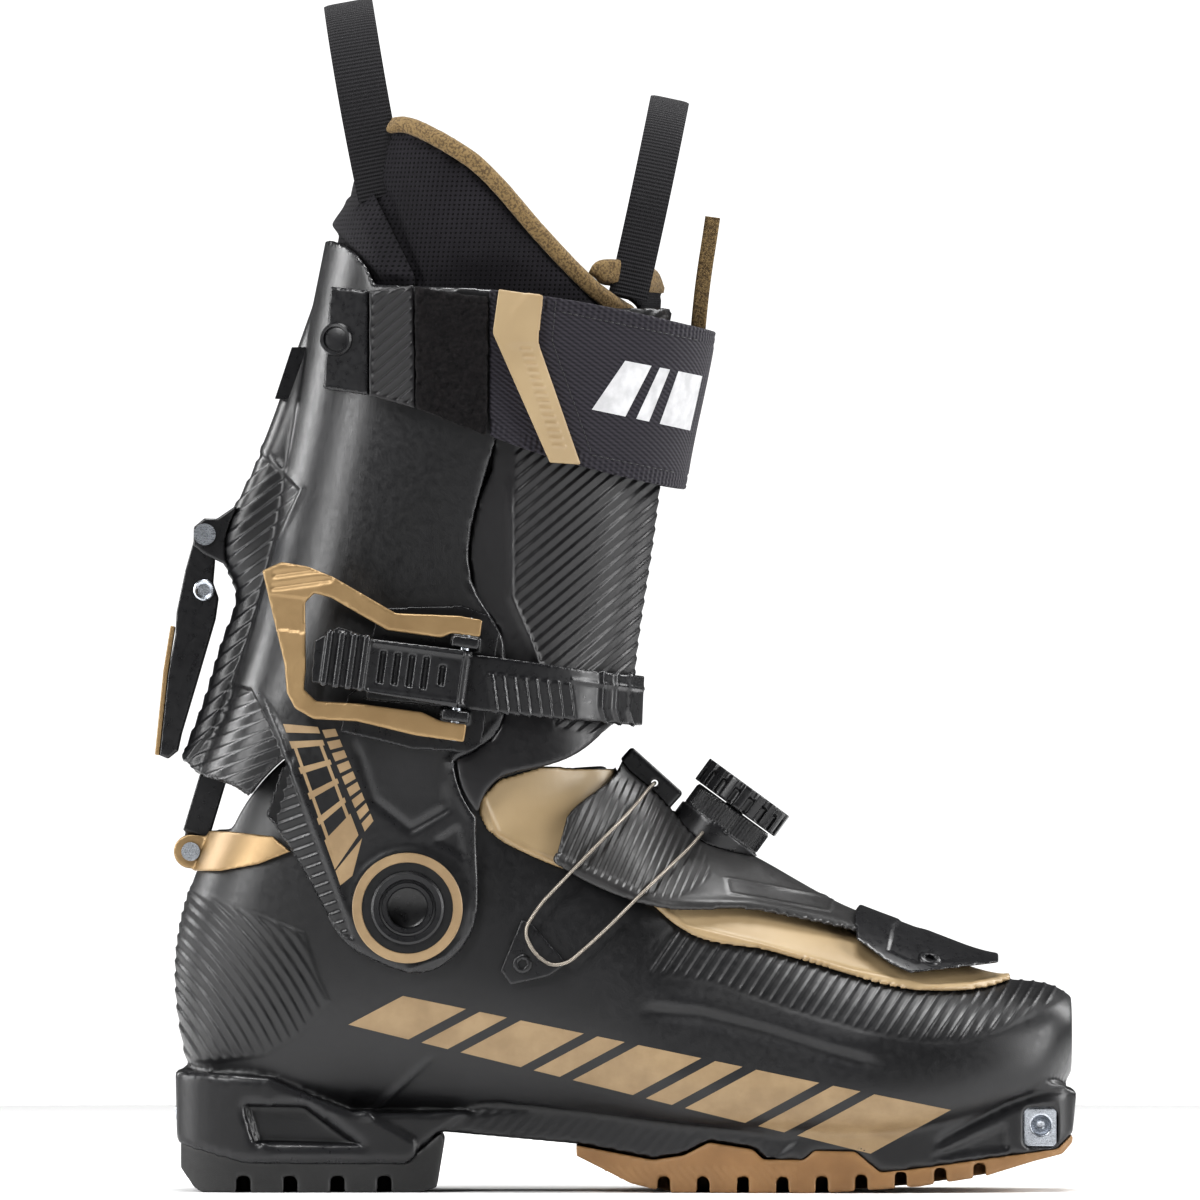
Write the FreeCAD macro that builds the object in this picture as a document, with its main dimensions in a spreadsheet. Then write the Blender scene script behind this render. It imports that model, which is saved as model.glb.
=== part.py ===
import FreeCAD, Part
import math
import os

# Alpine touring boot, right foot.  Frame: +X towards the toe, +Z up, -Y the outer side of the foot.
# The origin is on the floor, under the middle of the boot.
V = FreeCAD.Vector
doc = FreeCAD.newDocument("touring_boot")

# ---------------------------------------------------------------- driving dimensions (mm, degrees)
sheet = doc.addObject("Spreadsheet::Sheet", "sizes")
DIMENSIONS = {
    "shell_wall": 3.8, "cover_wall": 1.3, "tongue_wall": 3.4, "liner_wall": 5.7, "cuff_wall": 3.3,
    "shin_wall": 2.8, "fit_gap": 0.3, "pivot_x": -68.5, "pivot_z": 94.0, "swing_radius": 63.5,
    "ear_inner": 47.4, "ear_outer": 51.2, "neck_radius": 10.0, "flange_radius": 12.0,
    "bore_radius": 6.6, "ring_inner": 15.0, "ring_outer": 18.2,
    "bracket_x": -140.5, "bracket_z": 112.2, "bar_length": 49.0, "bar_width": 9.0, "bar_depth": 13.0,
    "bar_lean": 16.7, "dial_x": 33.7, "dial_z": 118.6, "dial_tilt": 36.2, "flange_dial": 15.3,
    "collar_dial": 14.3, "knob_radius": 16.4, "knob_height": 8.4, "knob_base": 9.9, "shaft_radius": 3.4,
    "hinge_x": -51.0, "hinge_y": -60.8, "hinge_z": 169.4, "hinge_tilt": 7.8, "hinge_pin": 1.6, "pin_play": 0.25,
    "lever_pin_x": -135.8, "lever_pin_z": 217.1, "link_pin_x": -134.5, "link_pin_z": 198.7,
    "lever_half": 7.9, "cheek_wall": 2.0, "strap_wall": 2.3, "webbing_wall": 1.6, "tape_wall": 1.4, "lace_radius": 0.6,
    "socket_radius": 3.3, "socket_wall": 1.6, "socket_depth": 2.4, "insert_half": 31.2, "screw_head": 4.1,
}
for row, (alias, value) in enumerate(DIMENSIONS.items(), start=1):
    sheet.set("A%d" % row, alias)
    sheet.set("B%d" % row, str(value))
    sheet.setAlias("B%d" % row, alias)
doc.recompute()


def size(alias):
    return float(sheet.get(alias))


WALL = size("shell_wall")
COVER = WALL + size("cover_wall")
TONGUE = COVER + size("fit_gap") + size("tongue_wall")
GAP = size("fit_gap")
PIVOT = V(size("pivot_x"), 0, size("pivot_z"))
SWING = size("swing_radius")
EAR_IN, EAR_OUT = size("ear_inner"), size("ear_outer")

# ---------------------------------------------------------------- shape of the foot and the leg
# Each section: near point (instep or shin), middle and far point (sole, heel or calf) as x, z,
# then the half width and the fullness of the near and the far half (2 is an ellipse).
FOOT = [
    ((147, 60.5), (147, 51.5), (147, 43), 21, 2.2, 2.2),
    ((144, 63.5), (144, 49.5), (144, 36.5), 28, 2.2, 2.3),
    ((138.5, 65.5), (138.5, 45), (138.5, 30.5), 34.5, 2.2, 2.4),
    ((128.5, 66.5), (128.5, 42), (128.5, 26.5), 41, 2.2, 2.5),
    ((113.5, 70.5), (113.5, 39), (113.5, 22.5), 46.5, 2.2, 2.7),
    ((94, 78), (94, 36), (94, 19), 50, 2.1, 2.8),
    ((73, 86.5), (73, 36), (73, 18), 50.5, 2.0, 2.8),
    ((44, 102.5), (44, 38.5), (44, 19), 48, 2.0, 2.8),
    ((22.5, 112), (14.5, 47), (8, 22.5), 45.5, 2.1, 2.7),
    ((12, 122.5), (0, 63.5), (-15, 24), 44, 2.2, 2.6),
    ((0.5, 131.5), (-23.5, 71.5), (-48, 25), 43, 2.4, 2.5),
    ((-4, 139.5), (-48, 80), (-87.5, 24), 42.5, 2.5, 2.4),
    ((-5, 145), (-71, 88), (-129, 28.5), 42.5, 2.5, 2.3),
    ((-5, 151), (-76, 104.5), (-141, 57), 42.5, 2.5, 2.2),
    ((-4, 157.5), (-74.5, 123), (-140.5, 90), 42.5, 2.4, 2.2),
    ((-2, 165.5), (-71, 141), (-130, 119.5), 42.5, 2.3, 2.2),
    ((0.5, 174), (-66, 160.5), (-120.5, 149), 43, 2.3, 2.2),
]


def level(z, rear, front, half, full_front=2.3, full_rear=2.3):
    """A horizontal section of the leg at height z."""
    middle = 0.5 * (rear + front) - 2
    return ((front, z), (middle, z), (rear, z), half, full_front, full_rear)


LEG = [
    level(105, -130, -4, 43.8), level(130, -121, -2, 43.8), level(150, -116, 0, 44),
    level(175, -113.8, 1, 44.8), level(200, -112, 6.5, 46), level(230, -106.5, 11, 47.5),
    level(260, -100.5, 13.3, 49), level(290, -95, 15.2, 50.5), level(315, -90, 16.5, 51),
    level(340, -85, 17.2, 51), level(362, -79.5, 17.3, 50.5),
]
CUFF_IN = [
    level(52, -150, 14, EAR_IN, 3, 3), level(100, -149, 11, EAR_IN, 3, 3.2), level(130, -139, 8, EAR_IN, 2.8, 3.2),
    level(150, -130, 6.5, 48.2, 2.5, 3.0), level(175, -121.5, 7.5, 49.0, 2.3, 2.6), level(200, -115.5, 11, 49.7),
    level(230, -109, 15, 51.2), level(260, -103, 17.2, 52.7), level(290, -97.5, 19, 54.1),
    level(318, -92, 20.4, 54.7), level(330, -90, 21, 54.7),
]
SPINE = [
    level(122, -150, -78, 17.5, 3, 3.2), level(145, -143.4, -74, 17.5, 3, 3.2), level(162, -136.8, -72, 17.5, 3, 3.2),
    level(186, -129.2, -70, 17.5, 3, 3.2), level(198, -126.2, -68, 17.5, 3, 3.2), level(208, -130.2, -66, 17.5, 3, 3.2),
    level(232, -123.6, -62, 17.5, 3, 3.2), level(264, -110.4, -56, 17, 3, 3.2), level(284, -103.4, -54, 16, 3, 3.2),
    level(300, -97.5, -52, 15, 3, 3.2),
]
SHIN_IN = [
    level(100, -140, 16, 48.2, 3), level(130, -131, 7.5, 48.4, 3), level(150, -123, 3.4, 48.2, 2.8),
    level(165, -120, 3.3, 47.2, 2.5), level(180, -117, 4.6, 46.2), level(200, -113.4, 7.5, 46.4),
    level(230, -107, 11.6, 47.9), level(260, -101, 13.8, 49.4), level(290, -95.4, 15.6, 50.9),
    level(318, -90, 17, 51.4),
]


def half_section(points, half, power):
    """Points of a quarter superellipse from the end point to the widest one, evenly spaced."""
    end, middle = points
    fine = []
    for step in range(201):
        angle = 0.5 * math.pi * step / 200
        along = math.cos(angle) ** (2.0 / power)
        across = math.sin(angle) ** (2.0 / power)
        fine.append(V(middle[0] + (end[0] - middle[0]) * along, half * across,
                      middle[1] + (end[1] - middle[1]) * along))
    length = [0.0]
    for a, b in zip(fine, fine[1:]):
        length.append(length[-1] + a.distanceToPoint(b))
    out = []
    for part in range(9):
        wanted = length[-1] * part / 8
        index = min(range(201), key=lambda i: abs(length[i] - wanted))
        out.append(fine[index])
    out[0].y = 0
    return out


def flattened(section):
    """The section with its middle on the line between its ends, so that a flat cap closes it."""
    near, middle, far = (V(p[0], 0, p[1]) for p in section[:3])
    chord = (near - far).normalize()
    foot = far + chord * (middle - far).dot(chord)
    return (section[0], (foot.x, foot.z)) + tuple(section[2:])


def grown(section, grow, grow_near=None):
    """The section moved outwards, within its own plane."""
    near, middle, far, half, power_near, power_far = section
    chord = V(near[0] - far[0], 0, near[1] - far[1]).normalize()
    up = V(near[0] - middle[0], 0, near[1] - middle[1]).normalize()
    down = V(far[0] - middle[0], 0, far[1] - middle[1]).normalize()
    lift = grow if grow_near is None else grow_near
    if abs(up.dot(chord)) > 0.999:
        up, down = chord, chord * -1
    near = (near[0] + up.x * lift, near[1] + up.z * lift)
    far = (far[0] + down.x * grow, far[1] + down.z * grow)
    return near, middle, far, half + grow, power_near, power_far


def ring(section):
    near, middle, far, half, power_near, power_far = section
    front = half_section((near, middle), half, power_near)
    back = half_section((far, middle), half, power_far)
    outer_side = [V(p.x, -p.y, p.z) for p in front] + [V(p.x, -p.y, p.z) for p in back[-2::-1]]
    inner_side = [V(p.x, p.y, p.z) for p in back[1:]] + [V(p.x, p.y, p.z) for p in front[-2:0:-1]]
    return outer_side + inner_side


def tube(sections, grow=0.0, grow_near=None, toe=0.0):
    """A closed solid skinned through the sections; toe moves the first sections along X."""
    rows = []
    for index, section in enumerate(sections):
        if index in (0, len(sections) - 1):
            section = flattened(section)
        points = ring(grown(section, grow, grow_near))
        shift = toe * max(0.0, 1.0 - index / 3.0)
        points = [V(p.x + shift, p.y, p.z) for p in points]
        curve = Part.BSplineCurve()
        count = len(points)
        curve.interpolate(Points=points, PeriodicFlag=True, Parameters=[i / count for i in range(count + 1)])
        rows.append(curve)
    along = [0.0]
    for a, b in zip(sections, sections[1:]):
        step = sum(math.hypot(a[k][0] - b[k][0], a[k][1] - b[k][1]) for k in range(3))
        along.append(along[-1] + step)
    along = [value / along[-1] for value in along]
    columns = []
    for index in range(rows[0].NbPoles):
        curve = Part.BSplineCurve()
        curve.interpolate(Points=[row.getPole(index + 1) for row in rows], Parameters=along)
        columns.append(curve)
    surface = Part.BSplineSurface()
    surface.buildFromPolesMultsKnots([c.getPoles() for c in columns], rows[0].getMultiplicities(),
                                     columns[0].getMultiplicities(), rows[0].getKnots(),
                                     columns[0].getKnots(), True, False, 3, 3)
    side = surface.toShape()
    rims = [edge for edge in side.Edges if edge.isClosed()]
    caps = [Part.Face(Part.Wire([edge])) for edge in rims]
    shell = Part.makeShell([side] + caps)
    shell.sewShape()
    solid = Part.makeSolid(Part.Shell(shell.Faces))
    if solid.Volume < 0:
        solid.reverse()
    return solid



# ---------------------------------------------------------------- outlines in the side view
def outline(*runs):
    """A side-view face: runs of two points are lines, longer runs are smooth curves."""
    edges = []
    for run in runs:
        points = [V(x, 0, z) for x, z in run]
        if len(points) == 2:
            edges.append(Part.LineSegment(*points).toShape())
        else:
            curve = Part.BSplineCurve()
            curve.interpolate(Points=points)
            edges.append(curve.toShape())
    return Part.Face(Part.Wire(edges))


def straight(*points):
    """A side-view face with straight sides."""
    closed = list(points) + [points[0]]
    return outline(*[closed[i:i + 2] for i in range(len(points))])


def prism(face, start=-90.0, end=90.0):
    """The side-view face stretched across the boot from y = start to y = end."""
    moved = face.copy()
    moved.translate(V(0, start, 0))
    return moved.extrude(V(0, end - start, 0))


def disc(x, z, radius, start, end):
    """A cylinder along Y."""
    return Part.makeCylinder(radius, end - start, V(x, start, z), V(0, 1, 0))


def layer(outer, inner, face, start=-90.0, end=90.0):
    """The wall between two tubes, within a side-view outline."""
    return outer.common(prism(face, start, end)).cut(inner)


def box(x0, x1, y0, y1, z0, z1):
    return Part.makeBox(x1 - x0, y1 - y0, z1 - z0, V(x0, y0, z0))


def largest(shape):
    """The shape without loose slivers."""
    solids = sorted(shape.Solids, key=lambda solid: solid.Volume)
    return solids[-1]


# ---------------------------------------------------------------- the document's sub-parts
NODES = []


def keep(obj, label):
    obj.Label = label
    NODES.append(obj)
    return obj


def feature(label, shape):
    """A sub-part with a free-form shape."""
    obj = doc.addObject("Part::Feature", label)
    obj.Shape = shape
    obj.Placement = shape.Placement
    return keep(obj, label)


def bind(obj, **expressions):
    for name, expression in expressions.items():
        obj.setExpression(name, expression)
    return obj


def primitive(kind, name, place=(0, 0, 0), turn=None, **expressions):
    """A Part primitive whose sizes are bound to the sheet; turn is an axis and an angle."""
    obj = doc.addObject("Part::" + kind, name)
    bind(obj, **expressions)
    rotation = FreeCAD.Rotation(V(*turn[0]), turn[1]) if turn else FreeCAD.Rotation()
    obj.Placement = FreeCAD.Placement(V(*place), rotation)
    return obj


def joined(kind, name, *parts):
    """A boolean of other objects: Cut takes base and tool, MultiFuse and MultiCommon any number."""
    obj = doc.addObject("Part::" + kind, name)
    if kind == "Cut":
        obj.Base, obj.Tool = parts
    else:
        obj.Shapes = list(parts)
    return obj


def tool(name, shape):
    """A free-form shape that other objects are cut or bounded with."""
    obj = doc.addObject("Part::Feature", name)
    obj.Shape = shape
    return obj


def plate(name, points, length, base_y, holes=()):
    """A PartDesign plate: an outline in the XZ plane padded across the boot, towards -Y."""
    body = doc.addObject("PartDesign::Body", name)
    sketch = body.newObject("Sketcher::SketchObject", name + "_outline")
    plane = [item for item in body.Origin.OriginFeatures if item.Role == "XZ_Plane"][0]
    sketch.AttachmentSupport = (plane, [""])
    sketch.MapMode = "FlatFace"
    closed = list(points) + [points[0]]
    for (x0, z0), (x1, z1) in zip(closed, closed[1:]):
        sketch.addGeometry(Part.LineSegment(V(x0, z0, 0), V(x1, z1, 0)), False)
    for x, z, radius in holes:
        sketch.addGeometry(Part.Circle(V(x, z, 0), V(0, 0, 1), radius), False)
    pad = body.newObject("PartDesign::Pad", name + "_pad")
    pad.Profile = sketch
    pad.setExpression("Length", length)
    body.Placement = FreeCAD.Placement(V(0, base_y, 0), FreeCAD.Rotation())
    return body


ACROSS = ((1, 0, 0), 90)          # turns a primitive's own Z axis to -Y

# ---------------------------------------------------------------- nested skins
skin_in = tube(FOOT)
skin_out = tube(FOOT, WALL, None, WALL)
cover_out = tube(FOOT, COVER, None, COVER)
tongue_in = tube(FOOT, COVER + GAP, None, COVER + GAP)
tongue_out = tube(FOOT, TONGUE, TONGUE + 0.4, TONGUE)
sock_out = tube(FOOT, -GAP, None, -GAP)
sock_in = tube(FOOT, -GAP - size("liner_wall"), None, -GAP - size("liner_wall"))
cuff_in = tube(CUFF_IN)
cuff_out = tube(CUFF_IN, size("cuff_wall")).fuse(tube(SPINE))
shin_in = tube(SHIN_IN)
shin_out = tube(SHIN_IN, size("shin_wall"))
leg_out = tube(LEG, -GAP)
leg_in = tube(LEG, -GAP - size("liner_wall"))

# ---------------------------------------------------------------- lower shell
TOP_REAR = 119.5
side = math.sqrt(SWING ** 2 - (TOP_REAR - PIVOT.z) ** 2)
dome = [(PIVOT.x + SWING * math.cos(a), PIVOT.z + SWING * math.sin(a))
        for a in [math.pi - math.asin((TOP_REAR - PIVOT.z) / SWING) - i * 0.28 for i in range(7)]]
dome.append((PIVOT.x + SWING * math.cos(math.pi / 4), PIVOT.z + SWING * math.sin(math.pi / 4)))
SHELL_KEEP = outline([(-165, TOP_REAR), dome[0]], dome, [dome[-1], (-4, 140.5)], [(-4, 140.5), (14, 140.5)],
                     [(14, 140.5), (170, 140.5)], [(170, 140.5), (170, -20)], [(170, -20), (-165, -20)],
                     [(-165, -20), (-165, TOP_REAR)])
SOLE_LINE = [(-143.5, 17.2), (-138.4, 15.2), (-121.6, 10.4), (-69.1, 10.0), (-65.8, 12.7), (-57.8, 19.6),
             (-13, 15.5), (12.4, 10.7), (22.6, 12.3), (30.9, 16.6), (45.4, 14.3), (48.7, 11.0), (62.2, 11.0),
             (65.5, 14.0), (79, 13.7), (87.3, 6.8), (99.8, 8.1), (119.6, 10.8), (138.4, 13.3), (145.7, 14.3),
             (151, 19.6)]
PLATFORM = straight((-144, 41), (-138, 39), (-114, 37.3), (-101, 31.7), (-86, 26), (-20, 27), (40, 25), (90, 24),
                    (118, 28), (140, 36), (148, 35.5), (152.3, 33), *reversed(SOLE_LINE))
SOLE_PLAN = [(-147, 13), (-143.5, 27), (-130, 34.5), (-100, 35.5), (-65, 33), (-30, 31), (0, 34), (30, 40),
             (60, 44), (90, 44.5), (113, 41.5), (132, 36), (147, 31.5), (153, 22)]


def plan_prism(points, low, high):
    """A vertical prism over a plan outline given by x and half width."""
    curve = Part.BSplineCurve()
    curve.interpolate(Points=[V(x, -w, low) for x, w in points])
    mirror = Part.BSplineCurve()
    mirror.interpolate(Points=[V(x, w, low) for x, w in points])
    first, last = points[0], points[-1]
    rear = Part.LineSegment(V(first[0], first[1], low), V(first[0], -first[1], low)).toShape()
    front = Part.LineSegment(V(last[0], -last[1], low), V(last[0], last[1], low)).toShape()
    wire = Part.Wire([rear, curve.toShape(), front, mirror.toShape()])
    return Part.Face(wire).extrude(V(0, 0, high - low))


sole_plan = plan_prism(SOLE_PLAN, -5, 60)
platform = prism(PLATFORM).common(sole_plan)
TOE_BOX = (134.6, 145.6, 14.9, 27.9)
toe_box = box(TOE_BOX[0], TOE_BOX[1], -60, 60, TOE_BOX[2], TOE_BOX[3])
HEEL_BOX = (-150, -138.6, 17.4, 34.6)
heel_box = box(HEEL_BOX[0], HEEL_BOX[1], -17, 17, HEEL_BOX[2], HEEL_BOX[3])
EYE = V(size("bracket_x"), 0, size("bracket_z"))

shell = skin_out.common(prism(SHELL_KEEP)).fuse(platform).cut(skin_in)
throat = straight((-26, 165), (-13, 126), (14, 106), (45, 90), (92, 64), (104, 84), (60, 125), (10, 170))
shell = shell.cut(prism(throat, -15, 15))
shell = shell.cut(toe_box).cut(heel_box)
for hand in (-1, 1):
    pocket = straight((-123.3, 29.7), (-101.8, 29.4), (-80.7, 14.5), (-119, 15.5))
    shell = shell.cut(prism(pocket, min(31.5 * hand, 60 * hand), max(31.5 * hand, 60 * hand)))
    neck = disc(PIVOT.x, PIVOT.z, size("neck_radius"), min(30 * hand, 60 * hand), max(30 * hand, 60 * hand))
    shell = shell.cut(neck)
bar_notch = prism(straight((-155, 107), (-133.4, 107), (-130.4, 122), (-155, 122)), -7.4, 7.4)
eye_space = disc(EYE.x, EYE.z, 6.4, -10.2, 10.2).fuse(bar_notch)
shell = shell.cut(eye_space)
feature("lower_shell", largest(shell))

# ---------------------------------------------------------------- soles
def sole_block(start, end, bottom, grooves, label):
    """Rubber under the platform from SOLE_LINE[start] to SOLE_LINE[end], with cross grooves."""
    top = SOLE_LINE[start:end + 1]
    shape = prism(straight(*top, *bottom)).common(sole_plan).cut(skin_out)
    shape = shape.cut(box(-200, 200, -3.5, 3.5, -5, 4.6))
    for x, z, width in grooves:
        for hand in (-1, 1):
            low, high = sorted((8 * hand, 60 * hand))
            shape = shape.cut(box(x, x + width, low, high, z - 12, z + 4.6))
    feature(label, largest(shape))


heel_grooves = [(x, 0.8, 4.5) for x in (-125, -109.5, -94, -78.5)]
sole_block(0, 5, [(-56.5, 17), (-59, 1.6), (-64, 0), (-136.5, 0), (-139, 1.6), (-143.5, 8)], heel_grooves, "heel_sole")
fore_grooves = [(14 + 13 * i, 0.8 + max(0, 13 * i - 40) ** 2 * 0.00105, 4.0) for i in range(9)]
sole_block(6, 20, [(151, 16.5), (147.5, 12.6), (137.8, 10.2), (121.6, 5.3), (99.2, 2), (70, 0), (17, 0), (5, 3),
                   (-12.8, 12)], fore_grooves, "forefoot_sole")

# ---------------------------------------------------------------- binding inserts
sockets = []
for hand in (-1, 1):
    turn = ((1, 0, 0), 90 * hand)
    mouth = primitive("Cylinder", "socket_mouth_%d" % (hand + 2), (140.4, hand * size("insert_half"), 22.1), turn,
                      Radius="sizes.socket_radius", Height="sizes.socket_wall")
    cone_y = hand * (size("insert_half") - size("socket_wall"))
    cone = primitive("Cone", "socket_cone_%d" % (hand + 2), (140.4, cone_y, 22.1), turn,
                     Radius1="sizes.socket_radius", Radius2="1.4", Height="sizes.socket_depth")
    sockets.append(joined("MultiFuse", "toe_socket_%d" % (hand + 2), mouth, cone))
toe_bar = primitive("Box", "toe_bar", (TOE_BOX[0], -size("insert_half"), TOE_BOX[2]), None, Length="11",
                    Width="2 * sizes.insert_half", Height="13")
keep(joined("Cut", "toe_insert", joined("Cut", "toe_bar_one", toe_bar, sockets[0]), sockets[1]), "toe_insert")
heel_bar = primitive("Box", "heel_bar", (-143.8, -16.9, 17.5), None, Length="5.1", Width="33.8", Height="17")
slots = [primitive("Box", "heel_slot_%d" % i, (-145, y - 2, 21), None, Length="4", Width="4", Height="10")
         for i, y in enumerate((-6.5, 6.5))]
keep(joined("Cut", "heel_insert", joined("Cut", "heel_bar_one", heel_bar, slots[0]), slots[1]), "heel_insert")
heel_screws = [primitive("Cylinder", "heel_screw_%d" % i, (-143.8, y, 26), ((0, 1, 0), -90), Radius="2.4",
                         Height="1.4") for i, y in enumerate((-13, 13))]
keep(joined("MultiFuse", "heel_insert_screws", *heel_screws), "heel_insert_screws")

# ---------------------------------------------------------------- inside the lower shell
FLOOR = [(-150, 33), (-50, 32), (10, 29.5), (60, 24.8), (100, 24.8), (118, 27), (150, 31)]


def above(offset):
    raised = [(x, z + offset) for x, z in FLOOR]
    return prism(straight(*raised, (150, 250), (-150, 250)))


def below(offset):
    raised = [(x, z + offset) for x, z in FLOOR]
    return prism(straight(*raised, (150, -20), (-150, -20)))


feature("bootboard", largest(sock_out.common(below(0))))
SOCK_KEEP = outline([(-165, TOP_REAR - 2), (dome[0][0] - 0.5, TOP_REAR - 2)],
                    [(dome[0][0] - 0.5, TOP_REAR - 2), (PIVOT.x - 40, PIVOT.z + 47), (PIVOT.x, PIVOT.z + SWING - 1.5),
                     (PIVOT.x + 38, PIVOT.z + 46)], [(PIVOT.x + 38, PIVOT.z + 46), (-20, 137)], [(-20, 137), (-2, 139.5)],
                    [(-2, 139.5), (160, 139.5)], [(160, 139.5), (160, 0)], [(160, 0), (-165, 0)], [(-165, 0), (-165, TOP_REAR - 2)])
liner_floor = 3.6
sock = sock_out.common(prism(SOCK_KEEP)).common(above(GAP)).cut(sock_in.common(above(GAP + liner_floor)))
feature("liner_boot", largest(sock))
insole = tube(FOOT, -2 * GAP - size("liner_wall"), None, -2 * GAP - size("liner_wall"))
feature("footbed", largest(insole.common(above(2 * GAP + liner_floor)).common(below(GAP + liner_floor + 4))))

# ---------------------------------------------------------------- gaiter and instep tongue
GAITER = outline([(-44.7, 129.4), (-39.8, 117.8), (-31.5, 112.9), (-20, 107.9), (8.1, 98), (22.9, 86.5), (47.7, 80.5),
                  (77.4, 72), (103.8, 66.7), (117, 67), (130.2, 70)], [(130.2, 70), (132, 84)], [(132, 84), (60, 130)],
                 [(60, 130), (10, 150)], [(10, 150), (-0.8, 139.5)], [(-0.8, 139.5), (-24.9, 140.2)],
                 [(-24.9, 140.2), (-38.4, 136.3)], [(-38.4, 136.3), (-44.7, 129.4)])
feature("gaiter", largest(layer(cover_out, skin_out, GAITER)))
TONGUE_SIDE = outline([(-20, 108.9), (8.1, 95.7), (17.3, 93.7), (45, 93.4), (54.3, 91.7), (72.8, 87.8), (90.6, 82.5)],
                      [(90.6, 82.5), (98, 96)], [(98, 96), (60, 135)], [(60, 135), (14, 160)], [(14, 160), (-1.5, 153.5)],
                      [(-1.5, 153.5), (-0.8, 137), (-8.4, 131), (-16, 124)], [(-16, 124), (-20, 108.9)])
instep = largest(layer(tongue_out, tongue_in, TONGUE_SIDE))
feature("tongue_instep", instep)
ANCHOR = straight((68.8, 106), (84, 100), (79, 91.4), (79.5, 83.6), (90.6, 75.5), (97.2, 72.5), (126.5, 75.6), (127.5, 84),
                  (95, 110), (72, 120))
anchor_out = tube(FOOT, TONGUE - 1.2, TONGUE + 3.0, TONGUE)
anchor = largest(anchor_out.common(prism(ANCHOR)).cut(cover_out).cut(instep))
feature("tongue_anchor", anchor)


def side_y(solid, x, z):
    """The y of a solid's surface on the outer side of the foot, at x and z."""
    line = Part.LineSegment(V(x, -100, z), V(x, 0, z)).toShape()
    inside = line.common(solid)
    return min(vertex.Y for vertex in inside.Vertexes)


def side_screws(label, points, solid, radius, height, sink):
    """Screw heads along Y on both sides of the boot, set into the surface."""
    heads = []
    for number, (x, z) in enumerate(points):
        y = side_y(solid, x, z)
        for hand in (-1, 1):
            place = (x, hand * (abs(y) - sink), z)
            turn = ((1, 0, 0), -90 * hand)
            heads.append(primitive("Cylinder", "%s_%d_%d" % (label, number, hand + 1), place, turn, Radius=radius,
                                   Height=height))
    keep(joined("MultiFuse", label, *heads), label)


# ---------------------------------------------------------------- lace guides
guide_out = tube(FOOT, WALL + 3.4, None, WALL)
GUIDE = straight((-37.8, 73.3), (-30.9, 90.1), (-27.5, 88.5), (-16, 75.6), (-21.9, 71.6), (-34.5, 68.6))
guide_shape = guide_out.common(prism(GUIDE, -90, 0)).cut(skin_out)
feature("lace_guide_lateral", largest(guide_shape))
feature("lace_guide_medial", largest(guide_out.common(prism(GUIDE, 0, 90)).cut(skin_out)))
RIDGE = V(12.9, 0, 138.0)
ridge_turn = FreeCAD.Rotation(V(0, 1, 0), 42)
upper = Part.makeBox(23, 18, 9, V(-11.5, -9, -7.4))
upper.Placement = FreeCAD.Placement(RIDGE, ridge_turn)
upper = upper.makeFillet(1.2, [edge for edge in upper.Edges if edge.BoundBox.ZMin > 120 and edge.Length > 8])
feature("lace_guide_upper", largest(upper.cut(tongue_out).cut(disc(13, 134.8, 1.2, -20, 20))))

# ---------------------------------------------------------------- dial
dial_axis = V(math.sin(math.radians(size("dial_tilt"))), 0, math.cos(math.radians(size("dial_tilt"))))
DIAL = V(size("dial_x"), 0, size("dial_z"))
DIAL_TURN = ((0, 1, 0), size("dial_tilt"))


def on_dial(height):
    point = DIAL + dial_axis * height
    return (point.x, point.y, point.z)


flange = primitive("Cylinder", "dial_flange", on_dial(-7), DIAL_TURN, Radius="sizes.flange_dial", Height="8.6")
collar = primitive("Cylinder", "dial_collar", on_dial(1.4), DIAL_TURN, Radius="sizes.collar_dial",
                   Height="sizes.knob_base - 1.8")
seat = joined("Cut", "dial_seat", joined("MultiFuse", "dial_stack", flange, collar), tool("tongue_skin", tongue_out))
well = primitive("Cylinder", "dial_well", on_dial(1.9), DIAL_TURN, Radius="5.4", Height="12")
keep(joined("Cut", "dial_base", seat, well), "dial_base")
spool = primitive("Cylinder", "dial_spool", on_dial(2.3), DIAL_TURN, Radius="4.9", Height="3.4")
shaft = primitive("Cylinder", "dial_shaft", on_dial(2.3), DIAL_TURN, Radius="sizes.shaft_radius",
                  Height="sizes.knob_base + 2.6")
keep(joined("MultiFuse", "dial_carrier", spool, shaft), "dial_carrier")
drum = primitive("Cylinder", "knob_drum", on_dial(size("knob_base")), DIAL_TURN, Radius="sizes.knob_radius",
                 Height="sizes.knob_height")
hollow = primitive("Cylinder", "knob_hollow", on_dial(size("knob_base") - 1), DIAL_TURN,
                   Radius="sizes.shaft_radius", Height="6")
notches = []
for number in range(18):
    angle = 2 * math.pi * number / 18
    radial = V(math.cos(angle), math.sin(angle), 0) * (size("knob_radius") + 0.9)
    spot = FreeCAD.Rotation(V(0, 1, 0), size("dial_tilt")).multVec(radial) + V(*on_dial(size("knob_base") - 1))
    notches.append(primitive("Cylinder", "knob_notch_%02d" % number, (spot.x, spot.y, spot.z), DIAL_TURN,
                             Radius="1.7", Height="sizes.knob_height + 2"))
gripped = joined("Cut", "knob_gripped", drum, joined("MultiFuse", "knob_notches", *notches))
keep(joined("Cut", "dial_knob", gripped, hollow), "dial_knob")

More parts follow.
